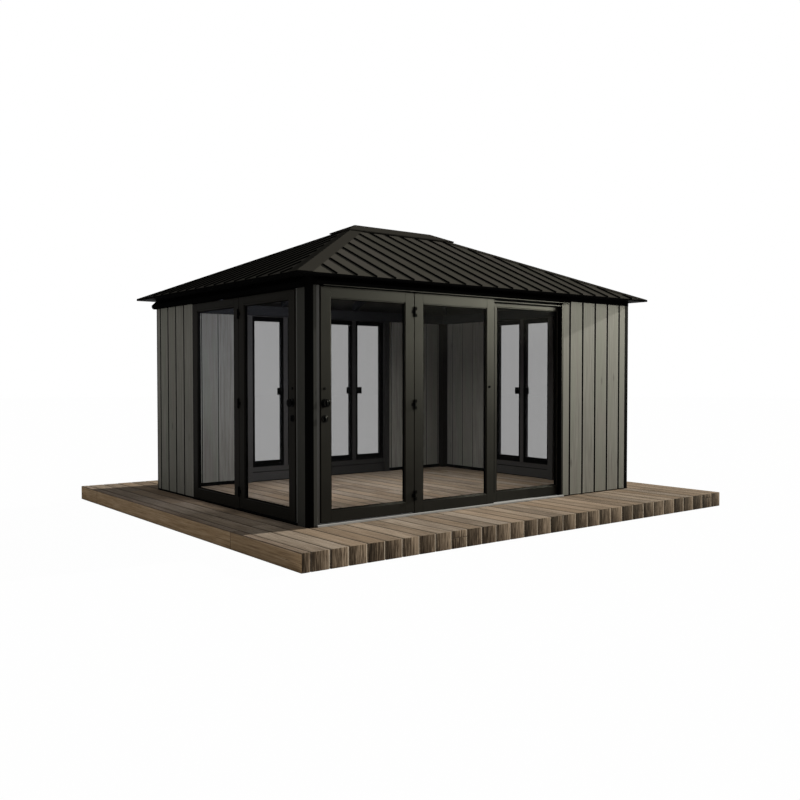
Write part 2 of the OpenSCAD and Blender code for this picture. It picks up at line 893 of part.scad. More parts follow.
module eave_soffit() {
    color(metal) on_deck() translate([0, 0, eave_h]) linear_extrude(soffit_t) difference() {
        translate([-eave_end, -eave_side]) square([eave_l, eave_d]);
        translate([wall_t, wall_t]) square([pod_l - 2 * wall_t, pod_d - 2 * wall_t]);
    }
}

// eight sided hubs at both ends of the ridge beam, which the rafters butt against
hub_w = 240;
hub_h = 120;
hub_drop = 70;
ridge_drop = 40;
rafter_rise = rafter_h / cos(slope_side);

module ridge_beam() {
    peak = side_z(mid_y);
    color(metal) on_deck() {
        for (x = [mid_x - ridge_l / 2, mid_x + ridge_l / 2])
            translate([x, mid_y, peak - hub_drop - hub_h]) rotate(22.5)
                cylinder(d = hub_w / cos(22.5), h = hub_h, $fn = 8);
        translate([mid_x - ridge_l / 2, mid_y - rafter_w / 2, peak - ridge_drop - hub_h])
            cube([ridge_l, rafter_w, hub_h]);
    }
}

// rafter from the wall to the hub, drawn in its own upright plane
module rafter(foot_run, top_run, foot_z, top_z) {
    rotate([90, 0, 0]) translate([0, 0, -rafter_w / 2]) linear_extrude(rafter_w) intersection() {
        polygon([[foot_run, foot_z], [top_run, top_z], [top_run, top_z - rafter_rise],
            [foot_run, foot_z - rafter_rise]]);
        translate([0, eave_h]) square([2 * pod_l, 2 * roof_rise]);
    }
}

module rafters() {
    side_drop = sheet_t / cos(slope_side) + seat_gap;
    end_drop = sheet_t / cos(slope_end) + seat_gap;
    hip_drop = side_drop + rafter_w / 4;
    hip_foot = norm([eave_end + wall_t, eave_side + wall_t]) + rafter_w;
    hip_top = hip_run - hub_w / 2 - 1;
    side_top = mid_y - hub_w / 2;
    end_top = mid_x - ridge_l / 2 - hub_w / 2;
    color(metal) on_deck() {
        for (mx = [0, 1], my = [0, 1])
            translate([mx * pod_l, my * pod_d, 0]) mirror([mx, 0, 0]) mirror([0, my, 0])
                translate([-eave_end, -eave_side, 0]) rotate(atan2(run_side, run_end))
                    rafter(hip_foot, hip_top, tip_z - hip_drop + hip_foot * roof_rise / hip_run,
                        tip_z - hip_drop + hip_top * roof_rise / hip_run);
        for (my = [0, 1], x = [mid_x - ridge_l / 2, mid_x + ridge_l / 2])
            translate([x, my * pod_d, 0]) mirror([0, my, 0]) rotate(90)
                rafter(wall_t, side_top, side_z(wall_t) - side_drop,
                    side_z(side_top) - side_drop);
        for (mx = [0, 1])
            translate([mx * pod_l, mid_y, 0]) mirror([mx, 0, 0])
                rafter(wall_t, end_top, end_z(wall_t) - end_drop, end_z(end_top) - end_drop);
    }
}

deck_platform();
deck_edge_boards();
post_front_left();
post_front_right();
post_back_left();
post_back_right();
beam_front();
beam_back();
beam_left();
beam_right();
head_rail_front();
head_rail_left();
sole_rails();
door_sills();
door_jambs();
front_wall();
left_wall();
back_wall_left();
back_wall_right();
right_wall_front();
right_wall_back();
front_leaf_middle();
front_leaf_right();
left_leaf_back();
fixed_leaf_glass();
back_window_left();
back_window_right();
right_window();
window_glass();
window_handles();
door_hinge_pins();
roof_front();
roof_back();
roof_left();
roof_right();
hip_flashings();
ridge_cap();
eave_soffit();
ridge_beam();
rafters();
front_door_leaf();
front_door_glass();
front_door_lock();
side_door_leaf();
side_door_glass();
side_door_lock();
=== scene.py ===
# Garden office pod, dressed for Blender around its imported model
import math
import random

import bpy
from mathutils import Matrix, Vector


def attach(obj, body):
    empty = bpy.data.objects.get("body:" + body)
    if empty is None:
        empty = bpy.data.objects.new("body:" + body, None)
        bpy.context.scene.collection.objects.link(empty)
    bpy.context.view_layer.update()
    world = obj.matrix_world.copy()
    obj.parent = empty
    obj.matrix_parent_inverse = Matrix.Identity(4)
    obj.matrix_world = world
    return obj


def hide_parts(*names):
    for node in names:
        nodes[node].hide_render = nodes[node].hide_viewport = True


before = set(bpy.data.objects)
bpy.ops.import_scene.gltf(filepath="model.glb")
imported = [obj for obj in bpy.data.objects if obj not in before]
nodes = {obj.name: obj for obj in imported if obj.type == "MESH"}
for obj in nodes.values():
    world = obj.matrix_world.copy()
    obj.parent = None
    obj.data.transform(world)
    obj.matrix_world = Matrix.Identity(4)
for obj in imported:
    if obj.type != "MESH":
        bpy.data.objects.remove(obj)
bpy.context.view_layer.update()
print("frame loaded,", len(nodes), "nodes")

# the pod's own corner in the frame: front left wall corner on top of the deck
pod = {"x": -2.375, "y": -1.800, "z": 0.169, "length": 4.8, "depth": 3.6}


def podPoint(x, y, z):
    return Vector((pod["x"] + x, pod["y"] + y, pod["z"] + z))


# Shader maths


class Signal:
    # one socket of a node tree that can be added, scaled and so on like a number
    def __init__(self, tree, socket):
        self.tree = tree
        self.socket = socket

    def maths(self, operation, first, second=0.0):
        return addNode(self.tree, "ShaderNodeMath", {"operation": operation}, {0: first, 1: second})

    def __add__(self, other):
        return self.maths("ADD", self, other)

    def __radd__(self, other):
        return self.maths("ADD", other, self)

    def __sub__(self, other):
        return self.maths("SUBTRACT", self, other)

    def __rsub__(self, other):
        return self.maths("SUBTRACT", other, self)

    def __mul__(self, other):
        return self.maths("MULTIPLY", self, other)

    def __rmul__(self, other):
        return self.maths("MULTIPLY", other, self)

    def __gt__(self, other):
        return self.maths("GREATER_THAN", self, other)

    def __abs__(self):
        return self.maths("ABSOLUTE", self)


def addNode(tree, kind, settings=None, inputs=None, output=0):
    # any node: its settings first, then values or links for its sockets
    node = tree.nodes.new(kind)
    for name, value in (settings or {}).items():
        if name == "stops":
            ramp = node.color_ramp
            while len(ramp.elements) < len(value):
                ramp.elements.new(1.0)
            for element, (place, colour) in zip(ramp.elements, value):
                element.position = place
                element.color = (*colour, 1.0)
        else:
            setattr(node, name, value)
    for name, value in (inputs or {}).items():
        socket = node.inputs[name]
        if isinstance(value, Signal):
            tree.links.new(value.socket, socket)
        elif socket.type == "RGBA" and len(value) == 3:
            socket.default_value = (*value, 1.0)
        else:
            socket.default_value = value
    return Signal(tree, node.outputs[output] if len(node.outputs) else None)


def newFinish(name, settings):
    # a material with one Principled shader; settings are plain numbers for its sockets
    material = bpy.data.materials.new(name)
    material.use_nodes = True
    tree = material.node_tree
    shader = tree.nodes["Principled BSDF"]
    for socket, value in settings.items():
        shader.inputs[socket].default_value = value
    return material, tree, shader


def feed(tree, shader, signals):
    # what changes over the surface, by the shader's sockets
    for socket, signal in signals.items():
        tree.links.new(signal.socket, shader.inputs[socket])


def blend(tree, factor, first, second, way="MIX"):
    # colours are mixed here; sockets 6 and 7 of the node are its two colours
    return addNode(tree, "ShaderNodeMix", {"data_type": "RGBA", "blend_type": way},
                   {0: factor, 6: first, 7: second}, 2)


def ramped(tree, factor, *stops):
    # a colour ramp; each stop is a place and a colour
    return addNode(tree, "ShaderNodeValToRGB", {"stops": stops}, {0: factor})


def spots(tree, place, scale, detail=2.0, roughness=0.5, distortion=0.0):
    return addNode(tree, "ShaderNodeTexNoise", None,
                   {"Vector": place, "Scale": scale, "Detail": detail,
                    "Roughness": roughness, "Distortion": distortion})


def stretched(tree, place, scale):
    return addNode(tree, "ShaderNodeMapping", None, {"Vector": place, "Scale": scale})


def between(tree, value, low, high):
    # 0 at low, 1 at high
    return addNode(tree, "ShaderNodeMapRange", None, {0: value, 1: low, 2: high})


def dented(tree, height, strength, distance):
    return addNode(tree, "ShaderNodeBump", None,
                   {"Height": height, "Strength": strength, "Distance": distance})


def ownPlace(tree):
    return addNode(tree, "ShaderNodeTexCoord", None, None, 3)


def ownValue(tree, name):
    # a number that each board or pan carries
    return addNode(tree, "ShaderNodeAttribute", {"attribute_name": name}, None, 2)


def split(tree, uvName):
    # a piece's own UV map, then the map's two parts
    uv = addNode(tree, "ShaderNodeUVMap", {"uv_map": uvName})
    parts = addNode(tree, "ShaderNodeSeparateXYZ", None, {0: uv})
    return uv, parts, Signal(tree, parts.socket.node.outputs[1])


def toned(colour, share):
    return tuple(part * share for part in colour)


# Finishes

timberLook = {
    "dark": (0.054, 0.039, 0.027),
    "mid": (0.205, 0.160, 0.117),
    "pale": (0.392, 0.330, 0.258),
    "warm": (0.228, 0.163, 0.106),
    "grey": (0.176, 0.153, 0.128),
    "edge": (0.500, 0.430, 0.335),
    "seam": (0.026, 0.019, 0.013),
    "crack": (0.028, 0.020, 0.014),
    "sawnDark": (0.020, 0.014, 0.009),
    "sawnMid": (0.095, 0.068, 0.045),
    "sawnPale": (0.297, 0.226, 0.156),
    "sawnShadeSeam": (0.016, 0.011, 0.007),
    "grainAlong": 2.0,
    "grainAcross": 62.0,
    "roughness": 0.78,
    "gloss": 0.004,
    "topFrom": 0.985,
}

# the left end's boards: golden faces under tops like the rest; the faces are a brighter, warmer copy of the
# deck timber, painted light for the shaded left side
goldenLitLook = {
    **timberLook,
    "dark": (0.150, 0.090, 0.045),
    "mid": (0.480, 0.325, 0.186),
    "pale": (0.780, 0.590, 0.390),
    "warm": (0.500, 0.310, 0.158),
    "grey": (0.290, 0.210, 0.135),
    "top": (0.44, 0.50, 0.64),
}


def timberFinish(name, look):
    material, tree, shader = newFinish(name, {"Specular IOR Level": look["gloss"]})
    uv, side, _ = split(tree, "grain")
    _, across, upper = split(tree, "spot")
    tone, hue = ownValue(tree, "tone"), ownValue(tree, "hue")
    run, cross = look["grainAlong"], look["grainAcross"]
    grain = spots(tree, stretched(tree, uv, (run, cross, 1.0)), 1.0, 5.0, 0.62, 0.4)
    fibre = spots(tree, stretched(tree, uv, (run * 3, cross * 5, 1.0)), 1.0, 2.0, 0.5)
    cloud = spots(tree, stretched(tree, uv, (1.3, 5.0, 1.0)), 1.0, 2.0, 0.5)
    body = ramped(tree, grain * 0.60 + fibre * 0.40 + (tone - 0.5) * 0.12 + (cloud - 0.5) * 0.16,
                  (0.30, look["dark"]), (0.50, look["mid"]), (0.72, look["pale"]))
    warm = between(tree, cloud * 0.6 + hue * 0.7, 0.55, 0.95)
    body = blend(tree, warm * 0.50, body, look["warm"])
    grey = between(tree, cloud * 0.5 + (1.0 - hue) * 0.7, 0.60, 0.95)
    body = blend(tree, grey * 0.30, body, look["grey"])
    # a pale rim along both long edges: a painted highlight of the rounded edges
    rim = between(tree, abs(across - 0.5), 0.42, 0.46)
    body = blend(tree, rim * 0.25, body, look["edge"])
    # painted shade on the left side of each board, and a dark seam
    body = blend(tree, between(tree, across, 0.24, 0.03) * 0.42, body, look["dark"])
    seam = between(tree, abs(across - 0.5), 0.456, 0.484)
    body = blend(tree, seam * 0.85, body, look["seam"])
    checks = spots(tree, stretched(tree, uv, (run * 0.9, cross * 1.6, 1.0)), 1.0, 3.0, 0.6, 0.8)
    crack = between(tree, checks, 0.64, 0.70)
    body = blend(tree, crack * 0.75, body, look["crack"])
    # sawn ends, where u is past 90: upright streaks, with painted shade on the left and painted light to the
    # right
    sawn = side > 90.0
    streak = spots(tree, stretched(tree, uv, (5.0, 95.0, 1.0)), 1.0, 4.0, 0.65, 0.6)
    lift = across * 0.42 + (tone - 0.5) * 0.30 + (streak - 0.5) * 2.1
    ends = ramped(tree, lift + 0.14,
                  (0.0, look["sawnDark"]), (0.35, look["sawnMid"]), (0.75, look["sawnPale"]))
    # a painted highlight along the right edge, and a dark joint deepened by painted shade along the left edge
    ends = blend(tree, between(tree, across, 0.90, 0.96) * 0.80, ends, look["edge"])
    ends = blend(tree, between(tree, across, 0.05, 0.01) * 0.85, ends, look["sawnShadeSeam"])
    body = blend(tree, sawn, body, ends)
    # the lit copy's tops are multiplied back to the deck's own tone
    if "top" in look:
        top = blend(tree, 1.0, body, look["top"], "MULTIPLY")
        body = blend(tree, upper > look["topFrom"], body, top)
    relief = grain * 0.6 + fibre * 0.4 - crack * 0.7
    feed(tree, shader, {"Base Color": body, "Roughness": look["roughness"] + (fibre - 0.5) * 0.3,
                        "Normal": dented(tree, relief, 0.55, 0.004)})
    return material


boardLook = {
    "dark": (0.150, 0.146, 0.126),
    "pale": (0.268, 0.262, 0.232),
    "green": (0.198, 0.206, 0.170),
    "plum": (0.215, 0.197, 0.178),
    "edge": (0.390, 0.385, 0.350),
    "knot": (0.060, 0.055, 0.046),
    "flankShade": (0.006, 0.006, 0.005),
    "grainAlong": 1.5,
    "grainAcross": 34.0,
    "roughness": 0.50,
    "gloss": 0.0062,
}


def boardFinish(name, look):
    material, tree, shader = newFinish(name, {"Specular IOR Level": look["gloss"]})
    uv, _, _ = split(tree, "grain")
    _, across, upper = split(tree, "spot")
    tone = ownValue(tree, "tone")
    run, cross = look["grainAlong"], look["grainAcross"]
    grain = spots(tree, stretched(tree, uv, (run, cross, 1.0)), 1.0, 4.0, 0.55, 0.5)
    fibre = spots(tree, stretched(tree, uv, (run * 4, cross * 6, 1.0)), 1.0, 2.0, 0.5)
    body = ramped(tree, grain * 0.7 + fibre * 0.3, (0.30, look["dark"]), (0.66, look["pale"]))
    cloud = spots(tree, stretched(tree, uv, (1.1, 7.0, 1.0)), 1.0, 2.0, 0.5)
    green = between(tree, cloud + (tone - 0.5) * 0.4, 0.45, 0.65)
    body = blend(tree, green * 0.6, body, look["green"])
    plum = between(tree, cloud - (tone - 0.5) * 0.6, 0.40, 0.20)
    body = blend(tree, plum * 0.5, body, look["plum"])
    rim = between(tree, abs(across - 0.5), 0.42, 0.48)
    body = blend(tree, rim * 0.30, body, look["edge"])
    knots = addNode(tree, "ShaderNodeTexVoronoi", None,
                    {"Vector": stretched(tree, uv, (1.4, 4.4, 1.0)), "Scale": 1.0, "Randomness": 1.0})
    body = blend(tree, between(tree, knots, 0.10, 0.03) * 0.55, body, look["knot"])
    # flanks inside the grooves are painted near black: painted shade of the grooves
    body = blend(tree, upper > 1.5, body, look["flankShade"])
    feed(tree, shader, {"Base Color": body, "Roughness": look["roughness"] + (grain - 0.5) * 0.25,
                        "Normal": dented(tree, grain * 0.6 + fibre * 0.4, 0.25, 0.002)})
    return material


# coats: name, colour, roughness, gloss
black = (0.0028, 0.0028, 0.0028)
coats = {
    "groove": ("groove backing", black, 0.80, 0.0),
    "frame": ("frame coat", (0.0145, 0.0135, 0.0112), 0.36, 0.006),
    "strip": ("jamb strip coat", (0.1200, 0.1200, 0.1140), 0.45, 0.0),
    "post": ("corner post coat", (0.0500, 0.0500, 0.0450), 0.45, 0.0),
    "roof": ("roof coat", (0.0270, 0.0255, 0.0215), 0.55, 0.0),
    "black": ("black coat", black, 0.40, 0.0006),
    "lock": ("lock coat", black, 0.24, 0.012),
    "lining": ("window lining coat", (0.0300, 0.0290, 0.0275), 0.45, 0.0),
    # a lighter copy of the window lining coat: painted light on the linings that are seen lit
    "trim": ("side lining coat", (0.0580, 0.0560, 0.0530), 0.45, 0.0),
    "inside": ("rafter coat", (0.0240, 0.0245, 0.0255), 0.60, 0.0),
}
panCoat = (0.0470, 0.0450, 0.0375)
alloyTones = ((0.27, 0.27, 0.262), (0.40, 0.40, 0.388))


def metalFinish(name, colour, roughness, specular):
    # powder coat: a fine speckle in colour and gloss over a faint cloud
    material, tree, shader = newFinish(name, {"Specular IOR Level": specular})
    place = ownPlace(tree)
    fine = spots(tree, place, 420.0, 2.0, 0.6)
    cloud = spots(tree, place, 2.6, 3.0, 0.5)
    body = blend(tree, fine * 0.6 + cloud * 0.4, toned(colour, 0.88), toned(colour, 1.12))
    feed(tree, shader, {"Base Color": body,
                        "Roughness": roughness + (cloud - 0.5) * 0.16 + (fine - 0.5) * 0.10,
                        "Normal": dented(tree, fine, 0.12, 0.0006)})
    return material


def panFinish(name, colour):
    # the same coat on roof pans that each have a tone of their own
    material, tree, shader = newFinish(name, {"Specular IOR Level": 0.0})
    place = ownPlace(tree)
    tone = ownValue(tree, "tone")
    fine = spots(tree, place, 300.0, 2.0, 0.6)
    cloud = spots(tree, place, 1.8, 3.0, 0.5)
    body = blend(tree, fine * 0.3 + cloud * 0.3 + tone * 0.4, toned(colour, 0.80), toned(colour, 1.22))
    body = blend(tree, between(tree, cloud + tone * 0.3, 0.55, 0.85) * 0.4, body,
                 (colour[0] * 1.10, colour[1] * 1.02, colour[2] * 1.15))
    feed(tree, shader, {"Base Color": body,
                        "Roughness": 0.52 + (cloud - 0.5) * 0.16 + (fine - 0.5) * 0.10,
                        "Normal": dented(tree, fine, 0.12, 0.0008)})
    return material


def glassFinish(name, colour, alpha, roughness, specular):
    material, tree, shader = newFinish(name, {"Alpha": alpha, "Specular IOR Level": specular})
    haze = spots(tree, ownPlace(tree), 6.0, 3.0, 0.55)
    feed(tree, shader, {"Base Color": blend(tree, haze, toned(colour, 0.88), colour),
                        "Roughness": roughness + (haze - 0.5) * 0.04})
    return material


def alloyFinish(name):
    # bare extruded sill track, brushed along its length
    material, tree, shader = newFinish(name, {"Specular IOR Level": 0.008})
    brush = spots(tree, stretched(tree, ownPlace(tree), (4.0, 260.0, 260.0)), 1.0, 2.0, 0.5)
    feed(tree, shader, {"Base Color": blend(tree, brush, *alloyTones),
                        "Roughness": 0.36 + (brush - 0.5) * 0.2})
    return material


finishes = {
    "timber": timberFinish("deck timber", timberLook),
    "golden": timberFinish("end board timber", goldenLitLook),
    "board": boardFinish("wall boards", boardLook),
    **{key: metalFinish(*coat) for key, coat in coats.items()},
    "pan": panFinish("roof pan coat", panCoat),
    "alloy": alloyFinish("sill alloy"),
    "glass": glassFinish("door glass", (0.020, 0.021, 0.021), 0.08, 0.12, 0.001),
    "pane": glassFinish("window glass", (0.055, 0.055, 0.056), 0.42, 0.30, 0.012),
}
print("finishes made")

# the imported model's own nodes; any other has the frame coat
nodeFinish = {
    "roof": ["roof_front", "roof_back", "roof_left", "roof_right", "hip_flashings", "ridge_cap"],
    "glass": ["fixed_leaf_glass", "front_door_glass", "side_door_glass"],
    "pane": ["window_glass"],
    "alloy": ["door_sills"],
    "black": ["head_rail_front", "head_rail_left", "front_door_lock", "side_door_lock",
              "window_handles", "door_hinge_pins", "sole_rails", "eave_soffit",
              "post_front_right"],
    "inside": ["rafters", "ridge_beam", *(name for name in nodes if name.startswith("beam"))],
}
finishOf = {node: finish for finish, names in nodeFinish.items() for node in names}
for name, piece in nodes.items():
    finish = finishOf.get(name, "frame")
    for slot in piece.material_slots:
        slot.material = finishes[finish]
    if finish in ("glass", "pane"):
        piece.visible_shadow = False  # clear glass lets the lamps into the room
print("frame pieces coated")


# Modelling helpers


def nothingSelected():
    if bpy.context.object is not None and bpy.context.object.mode != "OBJECT":
        bpy.ops.object.mode_set(mode="OBJECT")
    bpy.ops.object.select_all(action="DESELECT")


def opened(piece, action="DESELECT"):
    # the only selected piece, in edit mode, with all or nothing of it selected
    nothingSelected()
    piece.select_set(True)
    bpy.context.view_layer.objects.active = piece
    bpy.ops.object.mode_set(mode="EDIT")
    bpy.ops.mesh.select_all(action=action)


def block(name, low, high, bevel, segments=2):
    # a squared piece between two corners with rounded edges
    nothingSelected()
    middle = [(a + b) / 2 for a, b in zip(low, high)]
    size = [b - a for a, b in zip(low, high)]
    bpy.ops.mesh.primitive_cube_add(size=1.0, location=middle)
    piece = bpy.context.object
    piece.name = name
    piece.data.name = name
    piece.scale = size
    bpy.ops.object.transform_apply(location=True, rotation=True, scale=True)
    if bevel > 0:
        bpy.ops.object.mode_set(mode="EDIT")
        bpy.ops.mesh.select_all(action="SELECT")
        bpy.ops.mesh.bevel(offset=bevel, segments=segments, affect="EDGES")
        bpy.ops.object.mode_set(mode="OBJECT")
    return piece


def softened(piece, picks, offset, segments):
    # rounds the edges whose two corners both pass a test on their place
    opened(piece)
    bpy.ops.object.mode_set(mode="OBJECT")
    corners = piece.data.vertices
    for edge in piece.data.edges:
        edge.select = all(picks(corners[index].co) for index in edge.vertices)
    bpy.ops.object.mode_set(mode="EDIT")
    bpy.ops.mesh.select_mode(type="EDGE")
    bpy.ops.mesh.bevel(offset=offset, segments=segments, affect="EDGES")
    bpy.ops.mesh.select_mode(type="VERT")
    bpy.ops.object.mode_set(mode="OBJECT")
    return piece


def rod(name, foot, radius, height, edge, corners=24):
    # an upright round bar with softened ends
    nothingSelected()
    bpy.ops.mesh.primitive_cylinder_add(vertices=corners, radius=radius, depth=height,
                                        location=(foot[0], foot[1], foot[2] + height / 2))
    piece = bpy.context.object
    piece.name = name
    bpy.ops.object.transform_apply(location=True, rotation=True, scale=True)
    for z in (foot[2], foot[2] + height):
        softened(piece, lambda co, z=z: abs(co.z - z) < 1e-6, edge, 2)
    return piece


def turned(name, profile, steps=48):
    # a lathe-turned piece on the XZ plane's face, standing out towards -Y; profile: radius, height
    nothingSelected()
    bpy.ops.mesh.primitive_plane_add(size=0.01)
    piece = bpy.context.object
    piece.name = name
    bpy.ops.object.mode_set(mode="EDIT")
    bpy.ops.mesh.select_all(action="SELECT")
    bpy.ops.mesh.merge(type="CENTER")
    reached = (0.0, 0.0)
    for step, (radius, height) in enumerate(profile):
        move = (radius - reached[0], reached[1] - height, 0.0)
        if step == 0:
            bpy.ops.transform.translate(value=move)
        else:
            bpy.ops.mesh.extrude_region_move(TRANSFORM_OT_translate={"value": move})
        reached = (radius, height)
    bpy.ops.mesh.select_all(action="SELECT")
    bpy.ops.mesh.spin(steps=steps, angle=math.tau, center=(0.0, 0.0, 0.0), axis=(0.0, 1.0, 0.0))
    bpy.ops.mesh.select_all(action="SELECT")
    bpy.ops.mesh.remove_doubles(threshold=0.00002)
    bpy.ops.mesh.normals_make_consistent(inside=False)
    bpy.ops.object.mode_set(mode="OBJECT")
    return piece


def extruded(name, outline, length):
    # a bar along +X whose section is an outline of (y, z) points
    nothingSelected()
    bpy.ops.mesh.primitive_circle_add(vertices=len(outline), radius=1.0, fill_type="NGON")
    piece = bpy.context.object
    piece.name = name
    for corner, (y, z) in zip(piece.data.vertices, outline):
        corner.co = (0.0, y, z)
    bpy.ops.object.mode_set(mode="EDIT")
    bpy.ops.mesh.select_all(action="SELECT")
    bpy.ops.mesh.extrude_region_move(TRANSFORM_OT_translate={"value": (length, 0.0, 0.0)})
    bpy.ops.mesh.select_all(action="SELECT")
    bpy.ops.mesh.normals_make_consistent(inside=False)
    bpy.ops.object.mode_set(mode="OBJECT")
    return piece


def cutAway(piece, point, normal):
    # takes off what lies on the side that the normal points to and closes the cut
    opened(piece, "SELECT")
    bpy.ops.mesh.bisect(plane_co=point, plane_no=normal, use_fill=True, clear_outer=True)
    bpy.ops.object.mode_set(mode="OBJECT")
    return piece


def hollowed(piece, cutter):
    # takes a cutter's shape out of a piece
    change = piece.modifiers.new("cut", "BOOLEAN")
    change.operation = "DIFFERENCE"
    change.object = cutter
    nothingSelected()
    bpy.context.view_layer.objects.active = piece
    piece.select_set(True)
    bpy.ops.object.modifier_apply(modifier=change.name)
    bpy.data.objects.remove(cutter)
    return piece


def standing(x, y, z, turn=0.0):
    # where a piece drawn in its own corner goes: a point of the pod and a turn seen from above
    return Matrix.Translation(podPoint(x, y, z)) @ Matrix.Rotation(math.radians(turn), 4, "Z")


def moved(piece, x, y, z):
    piece.data.transform(Matrix.Translation((x, y, z)))
    return piece


def grained(piece, along, endUp, endAcross, rng, flanks=False):
    # grain map: u runs along the board and v round it, in metres, shifted board by board;
    # spot map: 0 to 1 across the board and up its face, 2 up where a flank lies in a groove
    mesh = piece.data
    grain = mesh.uv_layers.new(name="grain")
    spot = mesh.uv_layers.new(name="spot")
    shift = (rng.uniform(0.0, 60.0), rng.uniform(0.0, 60.0))
    tone, hue = rng.random(), rng.random()
    others = [axis for axis in range(3) if axis != along]
    lows = [min(corner.co[axis] for corner in mesh.vertices) for axis in range(3)]
    highs = [max(corner.co[axis] for corner in mesh.vertices) for axis in range(3)]
    for face in mesh.polygons:
        isEnd = abs(face.normal[along]) > 0.8
        isFlank = flanks and abs(face.normal[endAcross]) > 0.9
        wide = others[1] if abs(face.normal[others[0]]) > abs(face.normal[others[1]]) else others[0]
        for loop in face.loop_indices:
            co = mesh.vertices[mesh.loops[loop].vertex_index].co
            if isEnd:  # ends lie 100 further along, which tells the finish that they are sawn
                u, v = co[endUp] + 100.0, co[endAcross]
                wide = endAcross
            else:
                u, v = co[along], co[others[0]] + co[others[1]]
            grain.data[loop].uv = (u + shift[0], v + shift[1])
            spot.data[loop].uv = ((co[wide] - lows[wide]) / (highs[wide] - lows[wide]),
                                  2.0 if isFlank else (co[2] - lows[2]) / (highs[2] - lows[2]))
    for name, value in (("tone", tone), ("hue", hue)):
        values = mesh.attributes.new(name, "FLOAT", "POINT")
        values.data.foreach_set("value", [value] * len(mesh.vertices))


def joined(pieces, name, finish, place=None):
    # one piece from several, with one finish, set at its place
    nothingSelected()
    for piece in pieces:
        piece.select_set(True)
    bpy.context.view_layer.objects.active = pieces[0]
    if len(pieces) > 1:
        bpy.ops.object.join()
    piece = bpy.context.object
    piece.name = name
    piece.data.name = name
    if place is not None:
        piece.data.transform(place)
    piece.data.materials.clear()
    piece.data.materials.append(finishes[finish])
    bpy.ops.object.shade_smooth_by_angle(angle=math.radians(20))
    return piece


def dressed(piece, body, slot, *replaced):
    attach(piece, body)
    if replaced:
        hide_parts(*replaced)


def ring(x0, x1, z0, z1, widths, y0, y1, edge):
    # four squared bars round an opening; widths: left, right, low and high bar
    left, right, low, high = widths
    return [block("bar", (x0, y0, z0), (x0 + left, y1, z1), edge),
            block("bar", (x1 - right, y0, z0), (x1, y1, z1), edge),
            block("bar", (x0 + left, y0, z0), (x1 - right, y1, z0 + low), edge),
            block("bar", (x0 + left, y0, z1 - high), (x1 - right, y1, z1), edge)]


# Deck

deck = {
    "left": -0.660, "right": 5.410, "front": -0.946, "back": 4.546, "thick": 0.169,
    "edge": 0.091, "pitch": 0.1932, "gap": 0.004, "endGap": 0.0015, "uneven": 0.0015,
    "round": 0.005, "roundFront": 0.012, "seed": 11,
    "firstLength": (0.7, 1.9), "length": (0.55, 1.7), "lastLength": 0.45,
    "faceJoints": (0.311, 3.946), "split": {8: 0.068, 29: 0.049},
    "bedInset": 0.030, "bedFoot": 0.010, "bedTop": -0.016, "bedEdge": 0.002,
}


def deckRows():
    # sleepers laid front to back, each row butt jointed at its own places
    rng = random.Random(deck["seed"])
    rows = []
    start = deck["left"] + deck["edge"]
    count = math.ceil((deck["right"] - start) / deck["pitch"] - 0.02)
    for row in range(count):
        x0 = start + row * deck["pitch"]
        x1 = min(x0 + deck["pitch"], deck["right"])
        y = deck["front"]
        length = rng.uniform(*deck["firstLength"])
        while y < deck["back"]:
            end = y + length
            if deck["back"] - end < deck["lastLength"]:
                end = deck["back"]
            rows.append((row, x0, x1, y, end))
            y = end
            length = rng.uniform(*deck["length"])
    return rows, rng


def sleeper(x0, x1, y0, y1, z0, z1):
    half = deck["gap"] / 2
    atFront = y0 <= deck["front"] + 0.001
    atBack = y1 >= deck["back"] - 0.001
    low = podPoint(x0 + half, y0 + (0.0 if atFront else deck["endGap"]), z0 - deck["thick"])
    high = podPoint(x1 - half, y1 - (0.0 if atBack else deck["endGap"]), z1 - deck["thick"])
    piece = block("sleeper", low, high, 0.0)
    for isEnd, y in ((atFront, low.y), (atBack, high.y)):
        for x in (low.x, high.x):
            if isEnd:  # worn upright edges where a row ends in the open
                softened(piece, lambda co, x=x, y=y: abs(co.x - x) < 1e-5 and abs(co.y - y) < 1e-5,
                         deck["roundFront"], 3)
    opened(piece)
    bpy.ops.mesh.edges_select_sharp(sharpness=math.radians(50))
    bpy.ops.mesh.bevel(offset=deck["round"], segments=2, affect="EDGES")
    bpy.ops.object.mode_set(mode="OBJECT")
    return piece


def buildDeck():
    rows, rng = deckRows()
    top = deck["thick"]
    pieces = []
    for row, x0, x1, y0, y1 in rows:
        parts = [(0.0, top)]
        if row in deck["split"] and y0 <= deck["front"] + 0.001:
            cut = top - deck["split"][row]
            parts = [(0.0, cut), (cut, top)]
        for z0, z1 in parts:
            piece = sleeper(x0, x1, y0, y1, z0, z1 - rng.uniform(0.0, deck["uneven"]))
            grained(piece, 1, 2, 0, rng)
            pieces.append(piece)
    dressed(joined(pieces, "deck_sleepers", "timber"), "pod", "timber", "deck_platform")

    pieces = []
    stops = [deck["front"], *deck["faceJoints"], deck["back"]]
    for y0, y1 in zip(stops, stops[1:]):
        piece = sleeper(deck["left"] - deck["gap"] / 2, deck["left"] + deck["edge"], y0, y1, 0.0, top)
        grained(piece, 1, 2, 0, rng)
        pieces.append(piece)
    dressed(joined(pieces, "deck_end_boards", "golden"), "pod", "timber", "deck_edge_boards")

    # a dark bed inside closes the gaps between the sleepers: painted shade under the deck, seen through the
    # gaps
    inset = deck["bedInset"]
    bed = block("bed", podPoint(deck["left"] + inset, deck["front"] + inset, deck["bedFoot"] - top),
                podPoint(deck["right"] - inset, deck["back"] - inset, deck["bedTop"]), deck["bedEdge"])
    dressed(joined([bed], "deck_shade_bed", "groove"), "pod", "timber")


